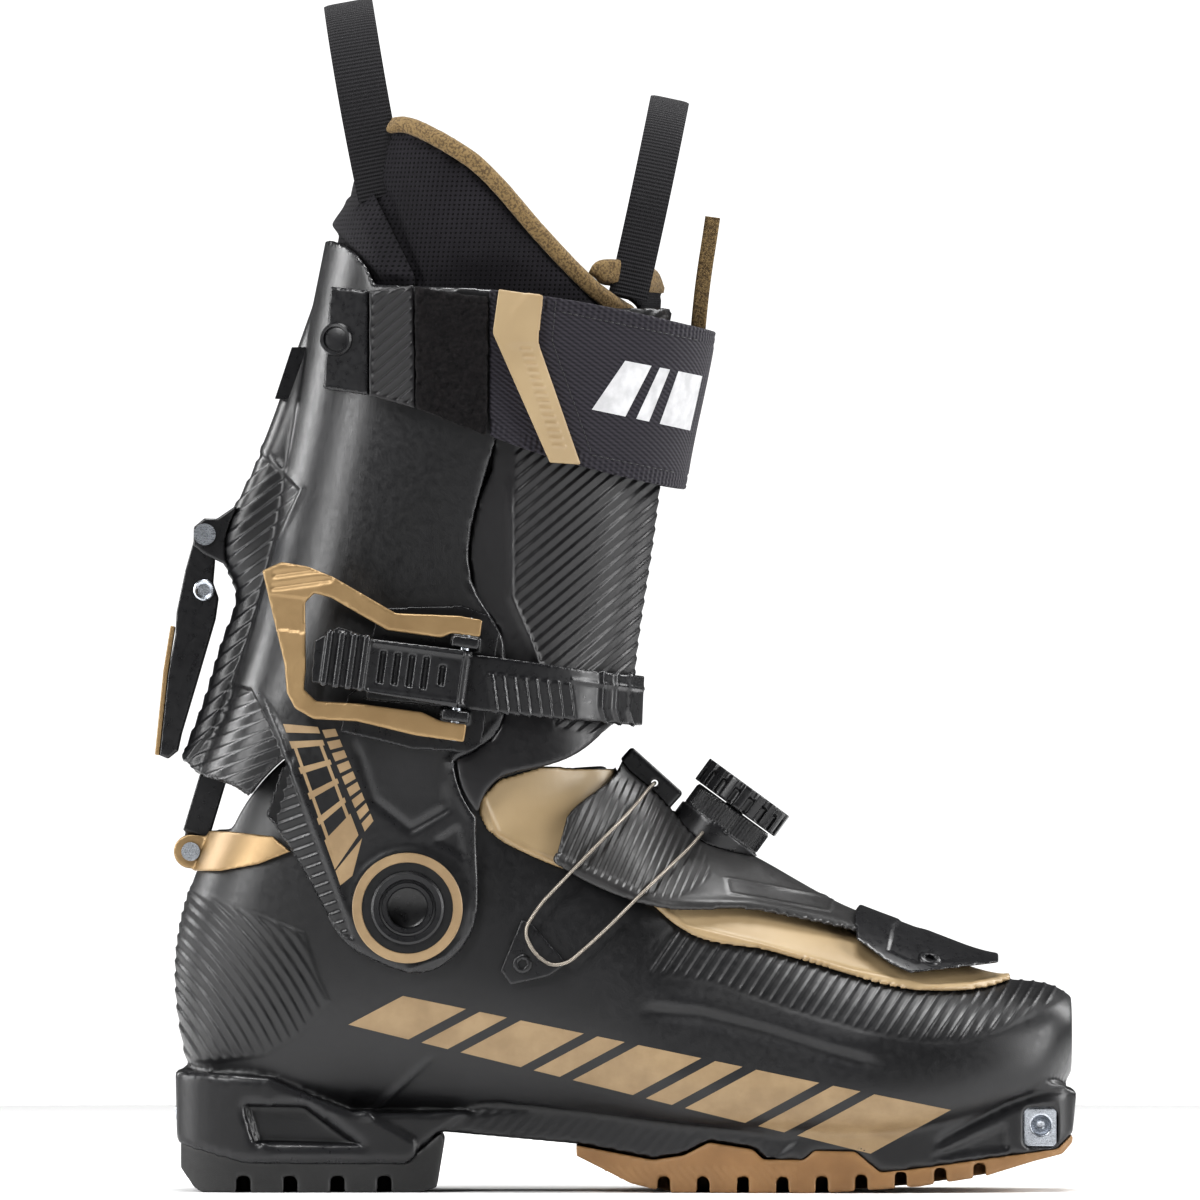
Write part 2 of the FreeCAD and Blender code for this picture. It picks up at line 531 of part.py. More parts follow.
# ---------------------------------------------------------------- lace
LACE = [
    (29.0, -13.4, 118.8), (25, -28.8, 114.2), (19, -37.6, 108.5), (10, -47.9, 100.1), (-4, -50.2, 86),
    (-15.5, -51.4, 75.9), (-21.5, -51.5, 74.9), (-27.2, -51.3, 79.5), (-30.3, -51.0, 86.5), (-25, -50.6, 95),
    (-12, -49.2, 108.5), (-2, -44.0, 118.8), (6, -34.4, 127), (11.2, -19.4, 133.4), (13, -8.6, 134.8),
]


def cord(route, radius):
    """A tube of straight runs joined by tangent arcs, as wide as the runs allow; also its length."""
    corners = [V(*point) for point in route]
    edges, last, radii = [], corners[0], []
    for before, corner, after in zip(corners, corners[1:], corners[2:]):
        back, ahead = (before - corner).normalize(), (after - corner).normalize()
        turn = math.pi - back.getAngle(ahead)
        shorter = min(before.distanceToPoint(corner), after.distanceToPoint(corner))
        reach = 0.45 * shorter
        radii.append(reach / math.tan(0.5 * turn))
        start, end = corner + back * reach, corner + ahead * reach
        centre_way = (back + ahead).normalize()
        middle = corner + centre_way * (radii[-1] / math.cos(0.5 * turn) - radii[-1])
        edges.append(Part.LineSegment(last, start).toShape())
        edges.append(Part.Arc(start, middle, end).toShape())
        last = end
    edges.append(Part.LineSegment(last, corners[-1]).toShape())
    path = Part.Wire(edges)
    start_way = (corners[1] - corners[0]).normalize()
    section = Part.Wire([Part.Circle(corners[0], start_way, radius).toShape()])
    solid = path.makePipeShell([section], True, False)
    share = solid.Volume / (math.pi * radius ** 2 * path.Length)
    print("lace length %.0f mm, smallest radius %.1f mm, volume ratio %.3f" % (path.Length, min(radii), share))
    return solid


far_half = [(x, -y, z) for x, y, z in reversed(LACE)]
feature("lace_cable", cord(LACE + far_half, size("lace_radius")))

# ---------------------------------------------------------------- heel bracket and its pin
HEEL_BAND = straight((-150, 105.5), (-150, 119), (-127, 119), (-113, 117.5), (-107, 112.5), (-118, 108.2), (-130, 106))
band = layer(tube(FOOT, WALL + 2.2, None, WALL), skin_out, HEEL_BAND).cut(eye_space)
cheeks = []
for low, high in ((-9.7, -7.0), (7.0, 9.7)):
    lug = disc(EYE.x, EYE.z, 5.6, low, high)
    arm = prism(straight((EYE.x, EYE.z + 5.5), (-129, 117), (-129, 106.5), (EYE.x, EYE.z - 5.5)), low, high)
    cheeks.append(lug.fuse(arm).cut(skin_out).cut(disc(EYE.x, EYE.z, 2.1, -20, 20)))
bracket = band.fuse(cheeks).removeSplitter()
feature("heel_bracket", largest(bracket))
pin_rod = primitive("Cylinder", "bracket_pin_rod", (EYE.x, 10.0, EYE.z), ACROSS, Radius="2.1", Height="20")
pin_heads = [primitive("Cylinder", "bracket_pin_head_%d" % i, (EYE.x, y, EYE.z), ACROSS, Radius="3.1", Height="1.2")
             for i, y in enumerate((11.0, -9.8))]
keep(joined("MultiFuse", "heel_bracket_pin", pin_rod, *pin_heads), "heel_bracket_pin")

# ---------------------------------------------------------------- ankle pivots and rings
for label, hand in (("lateral", -1), ("medial", 1)):
    turn = ((1, 0, 0), -90 * hand)
    stem = primitive("Cylinder", "pivot_stem_" + label, (PIVOT.x, hand * 42.8, PIVOT.z), turn,
                     Radius="sizes.neck_radius", Height="sizes.ear_outer + 0.5 - 42.8")
    lip = primitive("Cylinder", "pivot_lip_" + label, (PIVOT.x, hand * (EAR_OUT + 0.4), PIVOT.z), turn,
                    Radius="sizes.flange_radius", Height="1.8")
    bore = primitive("Cylinder", "pivot_bore_" + label, (PIVOT.x, hand * (EAR_OUT - 6), PIVOT.z), turn,
                     Radius="sizes.bore_radius", Height="12")
    rivet = joined("MultiFuse", "pivot_rivet_" + label, stem, lip)
    keep(joined("Cut", "ankle_pivot_" + label, rivet, bore), "ankle_pivot_" + label)
    outer = primitive("Cylinder", "ring_outer_" + label, (PIVOT.x, hand * EAR_OUT, PIVOT.z), turn,
                      Radius="sizes.ring_outer", Height="0.9")
    inner = primitive("Cylinder", "ring_inner_" + label, (PIVOT.x, hand * (EAR_OUT - 1), PIVOT.z), turn,
                      Radius="sizes.ring_inner", Height="3")
    keep(joined("Cut", "pivot_ring_" + label, outer, inner), "pivot_ring_" + label)

# ---------------------------------------------------------------- cuff
CUFF = outline([(-143.7, 143.6), (-139.1, 138.3), (-127.9, 134.6), (-122.3, 131.3), (-116.7, 125.7), (-105.4, 109.9),
                (-94.2, 89.8), (-87.9, 81.5), (-78.4, 76.2), (-66.5, 72.5), (-54.3, 76.9), (-48.7, 83.5), (-46, 92),
                (-45.4, 105), (-45.7, 124.1)],
               [(-45.7, 124.1), (-50.3, 130.7), (-53.3, 142.6)],
               [(-53.3, 142.6), (-44.7, 146.5), (-37.1, 155.8), (-36, 169), (-37.1, 182.2), (-45.4, 197), (-42.4, 238.3),
                (-38.1, 297.7)],
               [(-38.1, 297.7), (-79.4, 299.3)], [(-79.4, 299.3), (-84, 308), (-90, 312.8), (-99, 314.5)],
               [(-99, 314.5), (-160, 314.5)], [(-160, 314.5), (-160, 143.6)], [(-160, 143.6), (-143.7, 143.6)])
bar_dir = V(math.sin(math.radians(size("bar_lean"))), 0, math.cos(math.radians(size("bar_lean"))))
cuff = cuff_out.common(prism(CUFF)).cut(cuff_in)
channel = Part.makeBox(size("bar_width") + 5.8, size("bar_depth") + 2.2, 96,
                       V(-0.5 * size("bar_width") - 1.2, -0.5 * size("bar_depth") - 1.1, 0))
channel.Placement = FreeCAD.Placement(EYE, FreeCAD.Rotation(V(0, 1, 0), size("bar_lean")))


def swept_room(shapes, low_turn, high_turn, play):
    """The round space about the ankle pivot that the heel sweeps as the cuff leans, as a turned solid."""
    band = 3.0
    reach = {}
    for shape in shapes:
        for point in shape.tessellate(0.4)[0]:
            across, up = PIVOT.x - point.x, point.z - PIVOT.z
            turn = math.degrees(math.atan2(up, across))
            if low_turn <= turn <= high_turn:
                row = int(abs(point.y) // band)
                reach[row] = max(reach.get(row, 0), math.hypot(across, up))
    last = max(reach)
    wide = [max(reach.get(row, 0) for row in range(start, last + 1)) + play for start in range(last + 1)]
    profile = []
    for row, radius in enumerate(wide):
        profile += [V(PIVOT.x - radius, row * band, PIVOT.z), V(PIVOT.x - radius, (row + 1) * band, PIVOT.z)]
    profile[-1].y = min(profile[-1].y, EAR_IN - play)
    corners = [V(p.x, -p.y, p.z) for p in reversed(profile)] + profile
    corners = [corners[0] + V(wide[-1], 0, 0)] + corners + [corners[-1] + V(wide[-1], 0, 0)]
    kept = [corners[0]]
    for corner in corners[1:]:
        if corner.distanceToPoint(kept[-1]) > 0.01:
            kept.append(corner)
    face = Part.Face(Part.makePolygon(kept + [kept[0]]))
    return face.revolve(PIVOT, V(0, 1, 0), 360)


rear_swing = swept_room([doc.getObject("lower_shell").Shape, bracket], -5, 80, 0.45)
rear_swing = rear_swing.common(box(-190, PIVOT.x, -60, 60, 0, 200))
pin_swing = disc(PIVOT.x, PIVOT.z, 81.5, -11.8, 11.8).common(box(-190, PIVOT.x, -60, 60, 0, 200))
cuff = cuff.cut(channel).cut(rear_swing.fuse(pin_swing))
for hand in (-1, 1):
    low, high = sorted((EAR_IN * hand, EAR_OUT * hand))
    boss = disc(PIVOT.x, PIVOT.z, 19.2, low, high)
    hole = disc(PIVOT.x, PIVOT.z, size("neck_radius") + 0.35, min(40 * hand, 60 * hand), max(40 * hand, 60 * hand))
    recess = disc(PIVOT.x, PIVOT.z, 21.0, *sorted((EAR_OUT * hand, 60 * hand)))
    cuff = cuff.fuse(boss).cut(recess).cut(hole)
cuff = largest(cuff)
feature("cuff_shell", cuff)
SHIN = outline([(-45.2, 125), (-44.1, 129), (-39.1, 136), (-26.6, 139.9), (-9.7, 146.8), (-1.8, 153.5), (12, 157)],
               [(12, 157), (30, 175)], [(30, 175), (30, 292)], [(30, 292), (-37, 291)], [(-37, 291), (-41, 238)],
               [(-41, 238), (-48, 212), (-47, 200)], [(-47, 200), (-49, 186), (-49, 160), (-54, 146), (-52.4, 142)],
               [(-52.4, 142), (-49.6, 131.2), (-45.2, 125)])
BASE = straight((-77.7, 192.7), (-50.7, 193.6), (-41.7, 190.2), (-38.2, 184.8), (-39.1, 178.9), (-42.4, 162.4),
                (-43.1, 153.8), (-44.4, 147.5), (-48, 145.2), (-67.5, 146.5), (-78, 149.2), (-90.5, 152), (-88, 164),
                (-80, 170), (-80, 184))
shin = shin_out.common(prism(SHIN)).cut(shin_in).cut(cuff).cut(prism(BASE, -70, -43.8))
feature("tongue_shin", largest(shin))

# ---------------------------------------------------------------- liner in the cuff
COLLAR = [(-84.5, 346), (-78.4, 352.8), (-70.5, 354.9), (-58.2, 350.1), (-46.7, 342.9), (-36.8, 333.3), (-26.2, 320.8),
          (-15.7, 309.4), (-6.8, 300.6), (6.4, 291.7)]
dropped = [(x - 2, z - 5.0) for x, z in COLLAR]
LINER = outline([(-135, 157.5), (-116.5, 139.5)], [(-116.5, 139.5), (-98, 152.5), (-68.5, 160.5), (-40, 157.5), (-20, 152)],
                [(-20, 152), (-12, 165)], [(-12, 165), dropped[-1]],
                list(reversed(dropped)), [dropped[0], (-110, 341)], [(-110, 341), (-135, 157.5)])
feature("liner_cuff", largest(layer(leg_out, leg_in, LINER)))
TRIM = outline(COLLAR, [COLLAR[-1], dropped[-1]], list(reversed(dropped)), [dropped[0], (-110, 341)],
               [(-110, 341), (-110, 346)], [(-110, 346), COLLAR[0]])
trim = layer(tube(LEG, 0.15), tube(LEG, -GAP - size("liner_wall") - 0.5), TRIM)
feature("liner_collar_trim", largest(trim))
INNER_TONGUE = outline([(-11.2, 167), (4, 166)], [(4, 166), (30, 180)], [(30, 180), (30, 300)],
                       [(30, 300), (9.7, 305.9), (-4, 307.6), (-9, 307.4)], [(-9, 307.4), (-5.0, 301.4)],
                       [(-5.0, 301.4), (7.9, 292.6)], [(7.9, 292.6), (5.3, 286.4)], [(5.3, 286.4), (-11.2, 167)])
feature("liner_tongue", largest(layer(leg_out, leg_in, INNER_TONGUE)))
PAD = straight((-105, 296), (-97, 322), (-87.6, 329), (-80.4, 331), (-66, 302), (-66, 296))
feature("liner_rear_pad", largest(layer(tube(LEG, 1.7), tube(LEG, 0.15), PAD)))

# ---------------------------------------------------------------- pull loops
def pull_loop(base, top, width, half_gap, wall):
    """A folded webbing loop: two upright legs joined by an arch, its flat faces to the sides."""
    rise = V(top[0] - base[0], 0, top[1] - base[1])
    length = rise.Length - half_gap
    profile = []
    for radius in (half_gap, half_gap - wall):
        left, right = V(0, -radius, 0), V(0, radius, 0)
        up = V(0, 0, length)
        profile.append((left, left + up, up + V(0, 0, radius), right + up, right))
    outer, inner = profile
    edges = [Part.LineSegment(outer[0], outer[1]).toShape(), Part.Arc(outer[1], outer[2], outer[3]).toShape(),
             Part.LineSegment(outer[3], outer[4]).toShape(), Part.LineSegment(outer[4], inner[4]).toShape(),
             Part.LineSegment(inner[4], inner[3]).toShape(), Part.Arc(inner[3], inner[2], inner[1]).toShape(),
             Part.LineSegment(inner[1], inner[0]).toShape(), Part.LineSegment(inner[0], outer[0]).toShape()]
    strip = Part.Face(Part.Wire(edges)).extrude(V(width, 0, 0))
    lean = math.degrees(math.atan2(rise.x, rise.z))
    strip.translate(V(-0.5 * width, 0, 0))
    strip.Placement = FreeCAD.Placement(V(base[0], 0, base[1]), FreeCAD.Rotation(V(0, 1, 0), lean))
    return strip


webbing = size("webbing_wall")
front_loop = pull_loop((4.2, 296), (18, 361), 13, 38, webbing)
feature("front_pull_loop", largest(front_loop.cut(leg_out.common(prism(INNER_TONGUE))).cut(trim)))
rear_loop = pull_loop((-77, 329), (-88.5, 393.2), 16.5, 33, webbing)
feature("rear_pull_loop", largest(rear_loop.cut(tube(LEG, 0.16)).cut(tube(LEG, 1.75).common(prism(PAD)))))

# ---------------------------------------------------------------- power strap round the top of the cuff
strap_lines = [level(222, -150, 20.6, 58.9), level(250, -140, 24.6, 58.9), level(284, -130, 31.4, 59.2),
               level(306, -125, 32.6, 59.4)]


def strap_layer(low, high, face, start=-90.0, end=90.0):
    return layer(tube(strap_lines, high), tube(strap_lines, low), face, start, end)


woven_limit = prism(straight((-41.5, 240), (-41.5, 310), (60, 310), (60, 220)), -90, 0.001)
medial_limit = prism(straight((-78, 258), (-78, 305), (60, 310), (60, 220), (-30, 236)), 0, 90)
band_ring = strap_layer(0.0, 1.9, outline([(-80, 262), (-62.5, 256), (-48.7, 252.2), (-36.8, 247.6), (-10.4, 239.2),
                                           (26, 231.5), (45, 230)], [(45, 230), (48, 281)],
                                          [(48, 281), (34, 284), (-20.6, 295), (-38.3, 297.2), (-66.4, 299.6), (-82, 298)],
                                          [(-82, 298), (-80, 262)]))
woven = band_ring.common(woven_limit.fuse(medial_limit))
feature("power_strap", largest(woven))
FUZZY = straight((-65.5, 258.5), (-47.7, 251.6), (-42.4, 249.5), (-42, 295.2), (-49, 295.6), (-66, 298.4))
feature("power_strap_pad", largest(strap_layer(0.0, 4.2, FUZZY, -90, 0)))
RIBBED = straight((-81.0, 262.8), (-65.9, 258.4), (-66.4, 299.0), (-81.0, 297))
feature("power_strap_band", largest(strap_layer(0.0, 3.0, RIBBED, -90, 0)))
MOUNT = straight((-96.2, 265), (-81.4, 262.8), (-81.4, 297.2), (-93.9, 298.6))
mount_plate = tube(strap_lines, 2.2).common(prism(MOUNT, -90, 0)).cut(cuff_out)
feature("power_strap_mount", largest(mount_plate))
TAB = straight((-38.4, 297.6), (-23.9, 295.5), (-25.6, 280.6), (-11.4, 239.9), (-21.6, 240.6), (-40.4, 283.2))
feature("power_strap_tab", largest(strap_layer(2.2, 5.0, TAB, -90, 0)))
rivet_y = abs(side_y(tube(strap_lines, 2.2), -89, 281.5))
keep(primitive("Cylinder", "power_strap_rivet", (-89, -rivet_y + 1.0, 281.5), ACROSS, Radius="5.2", Height="1.9"),
     "power_strap_rivet")
doc.recompute()
TAPE = straight((22.0, 262), (26.9, 261.5), (35.6, 320.6), (33.9, 322.4), (30.6, 322.2))
feature("release_tape", prism(TAPE, -0.5 * size("tape_wall"), 0.5 * size("tape_wall")))

# ---------------------------------------------------------------- buckle
HINGE = V(size("hinge_x"), size("hinge_y"), size("hinge_z"))
hinge_turn = FreeCAD.Rotation(V(0, 1, 0), size("hinge_tilt"))
hinge_place = FreeCAD.Placement(HINGE, hinge_turn)


def local(shape):
    """A shape drawn about the buckle's hinge, moved to its place."""
    moved = shape.copy()
    moved.Placement = hinge_place.multiply(moved.Placement)
    return moved


base = prism(BASE, -54.0, -44).cut(cuff_out)
ears = []
for low, high in ((10.4, 14.0), (-14.0, -10.4)):
    ear = prism(straight((4.5, low), (4.5, high), (-4.5, high), (-4.5, low)), -3.6, 10)
    ears.append(local(ear).cut(cuff_out))
base = base.fuse(ears)
hinge_bore = local(Part.makeCylinder(size("hinge_pin"), 60, V(0, 0, -30)))
base = largest(base.cut(hinge_bore))
feature("buckle_base", base)
pin_lever = primitive("Cylinder", "buckle_pin", tuple(HINGE - hinge_turn.multVec(V(0, 0, 20.4))),
                      ((0, 1, 0), size("hinge_tilt")), Radius="sizes.hinge_pin", Height="40.8")
keep(pin_lever, "buckle_pin")
LEVER = [(4.5, 20.2), (-3, 20.6), (-24, 18.6), (-46, 27.6), (-55, 29.9), (-63.5, 30.2), (-69.5, 26.5), (-58, -3),
         (-56, -12.2), (-52.5, -17.0), (-46, -19.6), (-32, -18.4), (-12, -20.4), (4, -20.4), (4, -14.5), (-4.5, -14.5),
         (-11, -12.5), (-32, -12.5), (-46, -13.6), (-50.5, -10.4), (-50.8, -4), (-54, 18), (-51.5, 21.4), (-46, 20.8),
         (-26, 12.6), (-8, 12.6), (-5, 14.5), (4.5, 14.5)]
lever_face = straight(*LEVER)
top_view = [(5, -2.8), (-30, -3.2), (-50, -1.6), (-71, 4.0), (-71, 8.8), (-50, 3.4), (-30, 1.9), (5, 2.8)]
top_edges = [V(x, y, -40) for x, y in top_view]
lever_band = Part.Face(Part.makePolygon(top_edges + [top_edges[0]])).extrude(V(0, 0, 80))
lever_bore = local(Part.makeCylinder(size("hinge_pin") + size("pin_play"), 60, V(0, 0, -30)))
lever = local(lever_band.common(prism(lever_face, -20, 20))).cut(lever_bore)
feature("buckle_lever", largest(lever))
PAWL = straight((0, 9.6), (-4, 9.6), (-30, 9.2), (-42, 11.6), (-49.2, 6.0), (-48.4, -7.6), (-30, -8.2), (0, -9.6))
pawl = prism(PAWL, -4.0, 1.5).fuse(Part.makeCylinder(2.8, 19.2, V(0, 0, -9.6)))
pawl = pawl.cut(Part.makeCylinder(size("hinge_pin") + size("pin_play"), 60, V(0, 0, -30)))
feature("ratchet_pawl", largest(local(pawl)))

# ---------------------------------------------------------------- ladder strap
ladder_lines = [level(140, -110, 6.2, 55.2, 2.6, 4), level(160, -110, 6.8, 55.2, 2.6, 4),
                level(176, -110, 7.7, 55.3, 2.6, 4), level(200, -110, 10.9, 55.5, 2.6, 4)]
LADDER = outline([(-82, 178.6), (-46.7, 177.5), (-13.4, 172.9), (30, 169.6)], [(30, 169.6), (30, 152.2)],
                 [(30, 152.2), (3.5, 154.3), (-48.7, 159.3), (-82, 162.4)], [(-82, 162.4), (-82, 178.6)])
ladder = layer(tube(ladder_lines, size("strap_wall")), tube(ladder_lines), LADDER)
ladder = ladder.common(box(-82, 40, -90, 0.001, 100, 220).fuse(box(-44, 40, 0, 90, 100, 220)))
feature("ladder_strap", largest(ladder))
BUTTON = 156.5 + 11
button_y = side_y(tube(ladder_lines), -38, BUTTON)
stud = disc(-38, BUTTON, 4.2, 44, abs(button_y)).cut(cuff_out).cut(shin_out)
feature("strap_anchor", largest(stud))
keep(primitive("Cylinder", "strap_anchor_rivet", (-38, abs(button_y) + size("strap_wall"), BUTTON), ((1, 0, 0), -90),
               Radius="4.6", Height="1.6"), "strap_anchor_rivet")

# ---------------------------------------------------------------- walk lever and its bracket
PIN = V(size("lever_pin_x"), 0, size("lever_pin_z"))
CHEEK = [(-139.5, 219.5), (-136, 222.4), (-131.8, 222.3), (-125.4, 226.7), (-121, 212), (-128, 206.6), (-136, 210.5),
         (-139.6, 213.5)]
half = size("lever_half") + 0.4
cheek_parts = [prism(straight(*CHEEK), *sorted((hand * half, hand * (half + size("cheek_wall"))))) for hand in (-1, 1)]
bridge = prism(straight((-131.4, 221.8), (-125.4, 226.7), (-121, 212), (-128, 206.6), (-129.4, 209)), -half - 1, half + 1)
lever_bracket = bridge.fuse(cheek_parts).cut(cuff_out).cut(disc(PIN.x, PIN.z, 2.0, -30, 30))
feature("lever_bracket", largest(lever_bracket.removeSplitter()))
lever_rod = primitive("Cylinder", "walk_rod", (PIN.x, half + 2.6, PIN.z), ACROSS, Radius="2",
                      Height="2 * (sizes.lever_half + 0.4 + 2.6)")
rod_heads = [primitive("Cylinder", "walk_rod_head_%d" % i, (PIN.x, y, PIN.z), ACROSS, Radius="3.6", Height="1.1")
             for i, y in enumerate((half + 3.1, -half - 2.0))]
keep(joined("MultiFuse", "walk_lever_pin", lever_rod, *rod_heads), "walk_lever_pin")
WALK = [(-139.0, 217), (-137.2, 220), (-134, 220.2), (-132.6, 217), (-132.6, 208), (-133.2, 201), (-131.4, 196),
        (-132.4, 189), (-138.4, 168.5), (-143.6, 151.0), (-144.8, 145.4), (-148, 142.8), (-150.8, 144), (-147.9, 171.6),
        (-145.6, 183.8), (-145.2, 191.4), (-142.3, 205.3)]
keep(plate("walk_lever", WALK, "2 * sizes.lever_half", size("lever_half"),
           [(PIN.x, PIN.z, 2.25), (size("link_pin_x") - 1.6, size("link_pin_z"), 1.9)]), "walk_lever")
keep(plate("walk_lever_trim", [(-145.7, 186.5), (-148.0, 171.6), (-150.9, 144.0), (-152.4, 144.2), (-149.6, 172),
                               (-147.2, 187)], "2 * sizes.lever_half - 1.2", size("lever_half") - 0.6), "walk_lever_trim")
keep(primitive("Cylinder", "link_pin", (size("link_pin_x") - 1.6, half, size("link_pin_z")), ACROSS, Radius="1.9",
               Height="2 * (sizes.lever_half + 0.4)"), "link_pin")

# ---------------------------------------------------------------- lock bar
bar = Part.makeBox(size("bar_width"), size("bar_depth"), size("bar_length") - 6,
                   V(-0.5 * size("bar_width"), -0.5 * size("bar_depth"), 6))
eye = Part.makeCylinder(4.8, size("bar_depth") - 0.8, V(0, -0.5 * size("bar_depth") + 0.4, 0), V(0, 1, 0))
shank = Part.makeBox(7, size("bar_depth") - 0.8, 8, V(-3.5, -0.5 * size("bar_depth") + 0.4, 0))
bar = bar.fuse([eye, shank]).cut(Part.makeCylinder(2.35, 30, V(0, -15, 0), V(0, 1, 0))).removeSplitter()
bar.Placement = FreeCAD.Placement(EYE, FreeCAD.Rotation(V(0, 1, 0), size("bar_lean")))
feature("lock_bar", bar)

# ---------------------------------------------------------------- small pieces
BADGE = straight((-112.6, 262), (-100, 262), (-97.5, 279), (-107, 279))
feature("rear_badge", largest(prism(BADGE, -12, 12).cut(cuff_out)))
side_screws("guide_screws", [(-30.6, 75.6)], guide_out, "3.3", "1.6", 0.6)
side_screws("anchor_screws", [(103.5, 76.6)], anchor, "sizes.screw_head", "2.2", 0.8)
doc.recompute()


# ---------------------------------------------------------------- check and write
def main():
    failed = []
    for obj in doc.Objects:
        if "Invalid" in obj.State or "Error" in obj.State:
            failed.append("%s %s" % (obj.Label, obj.State))
    for node in NODES:
        shape = node.Shape
        if shape.isNull() or not shape.isValid() or not shape.Solids:
            failed.append("%s has no valid solid" % node.Label)
    if failed:
        raise RuntimeError("; ".join(failed))
    os.makedirs("parts", exist_ok=True)
    for node in NODES:
        node.Shape.exportStep("parts/%s.step" % node.Label)
    print("%d sub-parts written" % len(NODES))


main()
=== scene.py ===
import math
import bpy
import bmesh
import numpy as np
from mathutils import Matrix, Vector, noise
from mathutils.bvhtree import BVHTree


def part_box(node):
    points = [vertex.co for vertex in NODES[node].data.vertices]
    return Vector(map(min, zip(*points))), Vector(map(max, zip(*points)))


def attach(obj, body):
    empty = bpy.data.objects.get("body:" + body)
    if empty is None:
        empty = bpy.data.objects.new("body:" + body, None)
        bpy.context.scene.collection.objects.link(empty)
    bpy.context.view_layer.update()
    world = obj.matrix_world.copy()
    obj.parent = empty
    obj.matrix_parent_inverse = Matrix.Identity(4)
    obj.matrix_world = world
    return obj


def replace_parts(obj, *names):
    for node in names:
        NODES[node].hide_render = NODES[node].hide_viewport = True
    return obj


MM = 0.001
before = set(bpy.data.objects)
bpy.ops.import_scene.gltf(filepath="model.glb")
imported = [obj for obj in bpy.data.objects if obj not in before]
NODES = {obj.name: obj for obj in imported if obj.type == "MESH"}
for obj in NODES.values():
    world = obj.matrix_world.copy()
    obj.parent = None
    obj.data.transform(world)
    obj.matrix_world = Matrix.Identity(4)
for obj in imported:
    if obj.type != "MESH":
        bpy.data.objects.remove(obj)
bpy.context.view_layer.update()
SIDES = ((-1, "lateral"), (1, "medial"))


def placed(name, data):
    """A new object in the scene."""
    obj = bpy.data.objects.new(name, data)
    bpy.context.collection.objects.link(obj)
    return obj


# --- camera
FRAME_WIDTH = 396 * MM
LENS = 800.0
SENSOR = 36.0
LOOK_AT = Vector((-5.1, 0.0, 195.4)) * MM
FRAME_PLANE = 0.03  # metres from the middle plane to where the frame width holds
camera_data = bpy.data.cameras.new("camera")
camera_data.lens, camera_data.sensor_width = LENS, SENSOR
camera_data.clip_start, camera_data.clip_end = 0.1, 60.0
camera = placed("camera", camera_data)
camera.location = LOOK_AT + Vector((0, -FRAME_WIDTH * LENS / SENSOR - FRAME_PLANE, 0))
camera.rotation_euler = (math.pi / 2, 0, 0)
bpy.context.scene.camera = camera


# --- mesh helpers
def add_mesh(name, verts, faces):
    """A new object from vertices in millimetres."""
    mesh = bpy.data.meshes.new(name)
    mesh.from_pydata([tuple(float(c) * MM for c in v) for v in verts], [], [tuple(f) for f in faces])
    mesh.update()
    return placed(name, mesh)


def applied(obj):
    """The object's modifiers become its mesh."""
    graph = bpy.context.evaluated_depsgraph_get()
    graph.update()
    mesh = bpy.data.meshes.new_from_object(obj.evaluated_get(graph))
    old = obj.data
    obj.modifiers.clear()
    obj.data = mesh
    bpy.data.meshes.remove(old)
    return obj


def values(items, name, width=1, kind=float):
    """One attribute of every vertex, edge, loop or face, with width numbers each."""
    flat = np.empty(len(items) * width, kind)
    items.foreach_get(name, flat)
    return flat


def coords(obj):
    """Vertex positions in millimetres."""
    return values(obj.data.vertices, "co", 3).reshape(-1, 3) / MM


def normals(obj):
    return values(obj.data.vertices, "normal", 3).reshape(-1, 3)


def set_coords(obj, points):
    obj.data.vertices.foreach_set("co", (points * MM).ravel())
    obj.data.update()


def smooth_shade(obj):
    obj.data.polygons.foreach_set("use_smooth", [True] * len(obj.data.polygons))
    obj.data.update()
    return obj


def remade(obj, change):
    """Runs change on the piece's mesh in its editable form."""
    mesh = bmesh.new()
    mesh.from_mesh(obj.data)
    change(mesh)
    mesh.to_mesh(obj.data)
    mesh.free()
    return obj


def facing_out(obj):
    """Turns every face to look outwards."""
    return remade(obj, lambda mesh: bmesh.ops.recalc_face_normals(mesh, faces=mesh.faces))


def smooth_by_angle(obj, angle=35):
    """Smooth shading with creases kept sharp."""
    def sharpen(mesh):
        for edge in mesh.edges:
            if len(edge.link_faces) == 2 and edge.calc_face_angle(0) > math.radians(angle):
                edge.smooth = False
    return remade(smooth_shade(obj), sharpen)


WELD_GAP = 0.01 * MM


def softened(name, node, voxel, rounds=3, factor=0.5):
    """A copy of a CAD node with fine, even faces and rounded edges."""
    obj = placed(name, NODES[node].data.copy())
    obj.data.materials.clear()
    weld = obj.modifiers.new("weld", "WELD")
    weld.merge_threshold = WELD_GAP
    remesh = obj.modifiers.new("remesh", "REMESH")
    remesh.mode, remesh.voxel_size = "VOXEL", voxel * MM
    if rounds:
        relax = obj.modifiers.new("relax", "SMOOTH")
        relax.factor, relax.iterations = factor, rounds
    applied(obj)
    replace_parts(obj, node)
    return smooth_shade(obj)


def finer(obj, chosen):
    """Splits the faces round the chosen vertices once more."""
    def split(mesh):
        mesh.verts.ensure_lookup_table()
        for vert, wanted in zip(mesh.verts, chosen):
            vert.select = bool(wanted)
        edges = [e for e in mesh.edges if e.verts[0].select and e.verts[1].select]
        bmesh.ops.subdivide_edges(mesh, edges=edges, cuts=1, use_grid_fill=True)
    return smooth_shade(remade(obj, split))


def surface(obj):
    """Points in millimetres, normals, and the points' x and z."""
    pts = coords(obj)
    return pts, normals(obj), pts[:, 0], pts[:, 2]


def smoothstep(t):
    t = np.clip(t, 0.0, 1.0)
    return t * t * (3 - 2 * t)


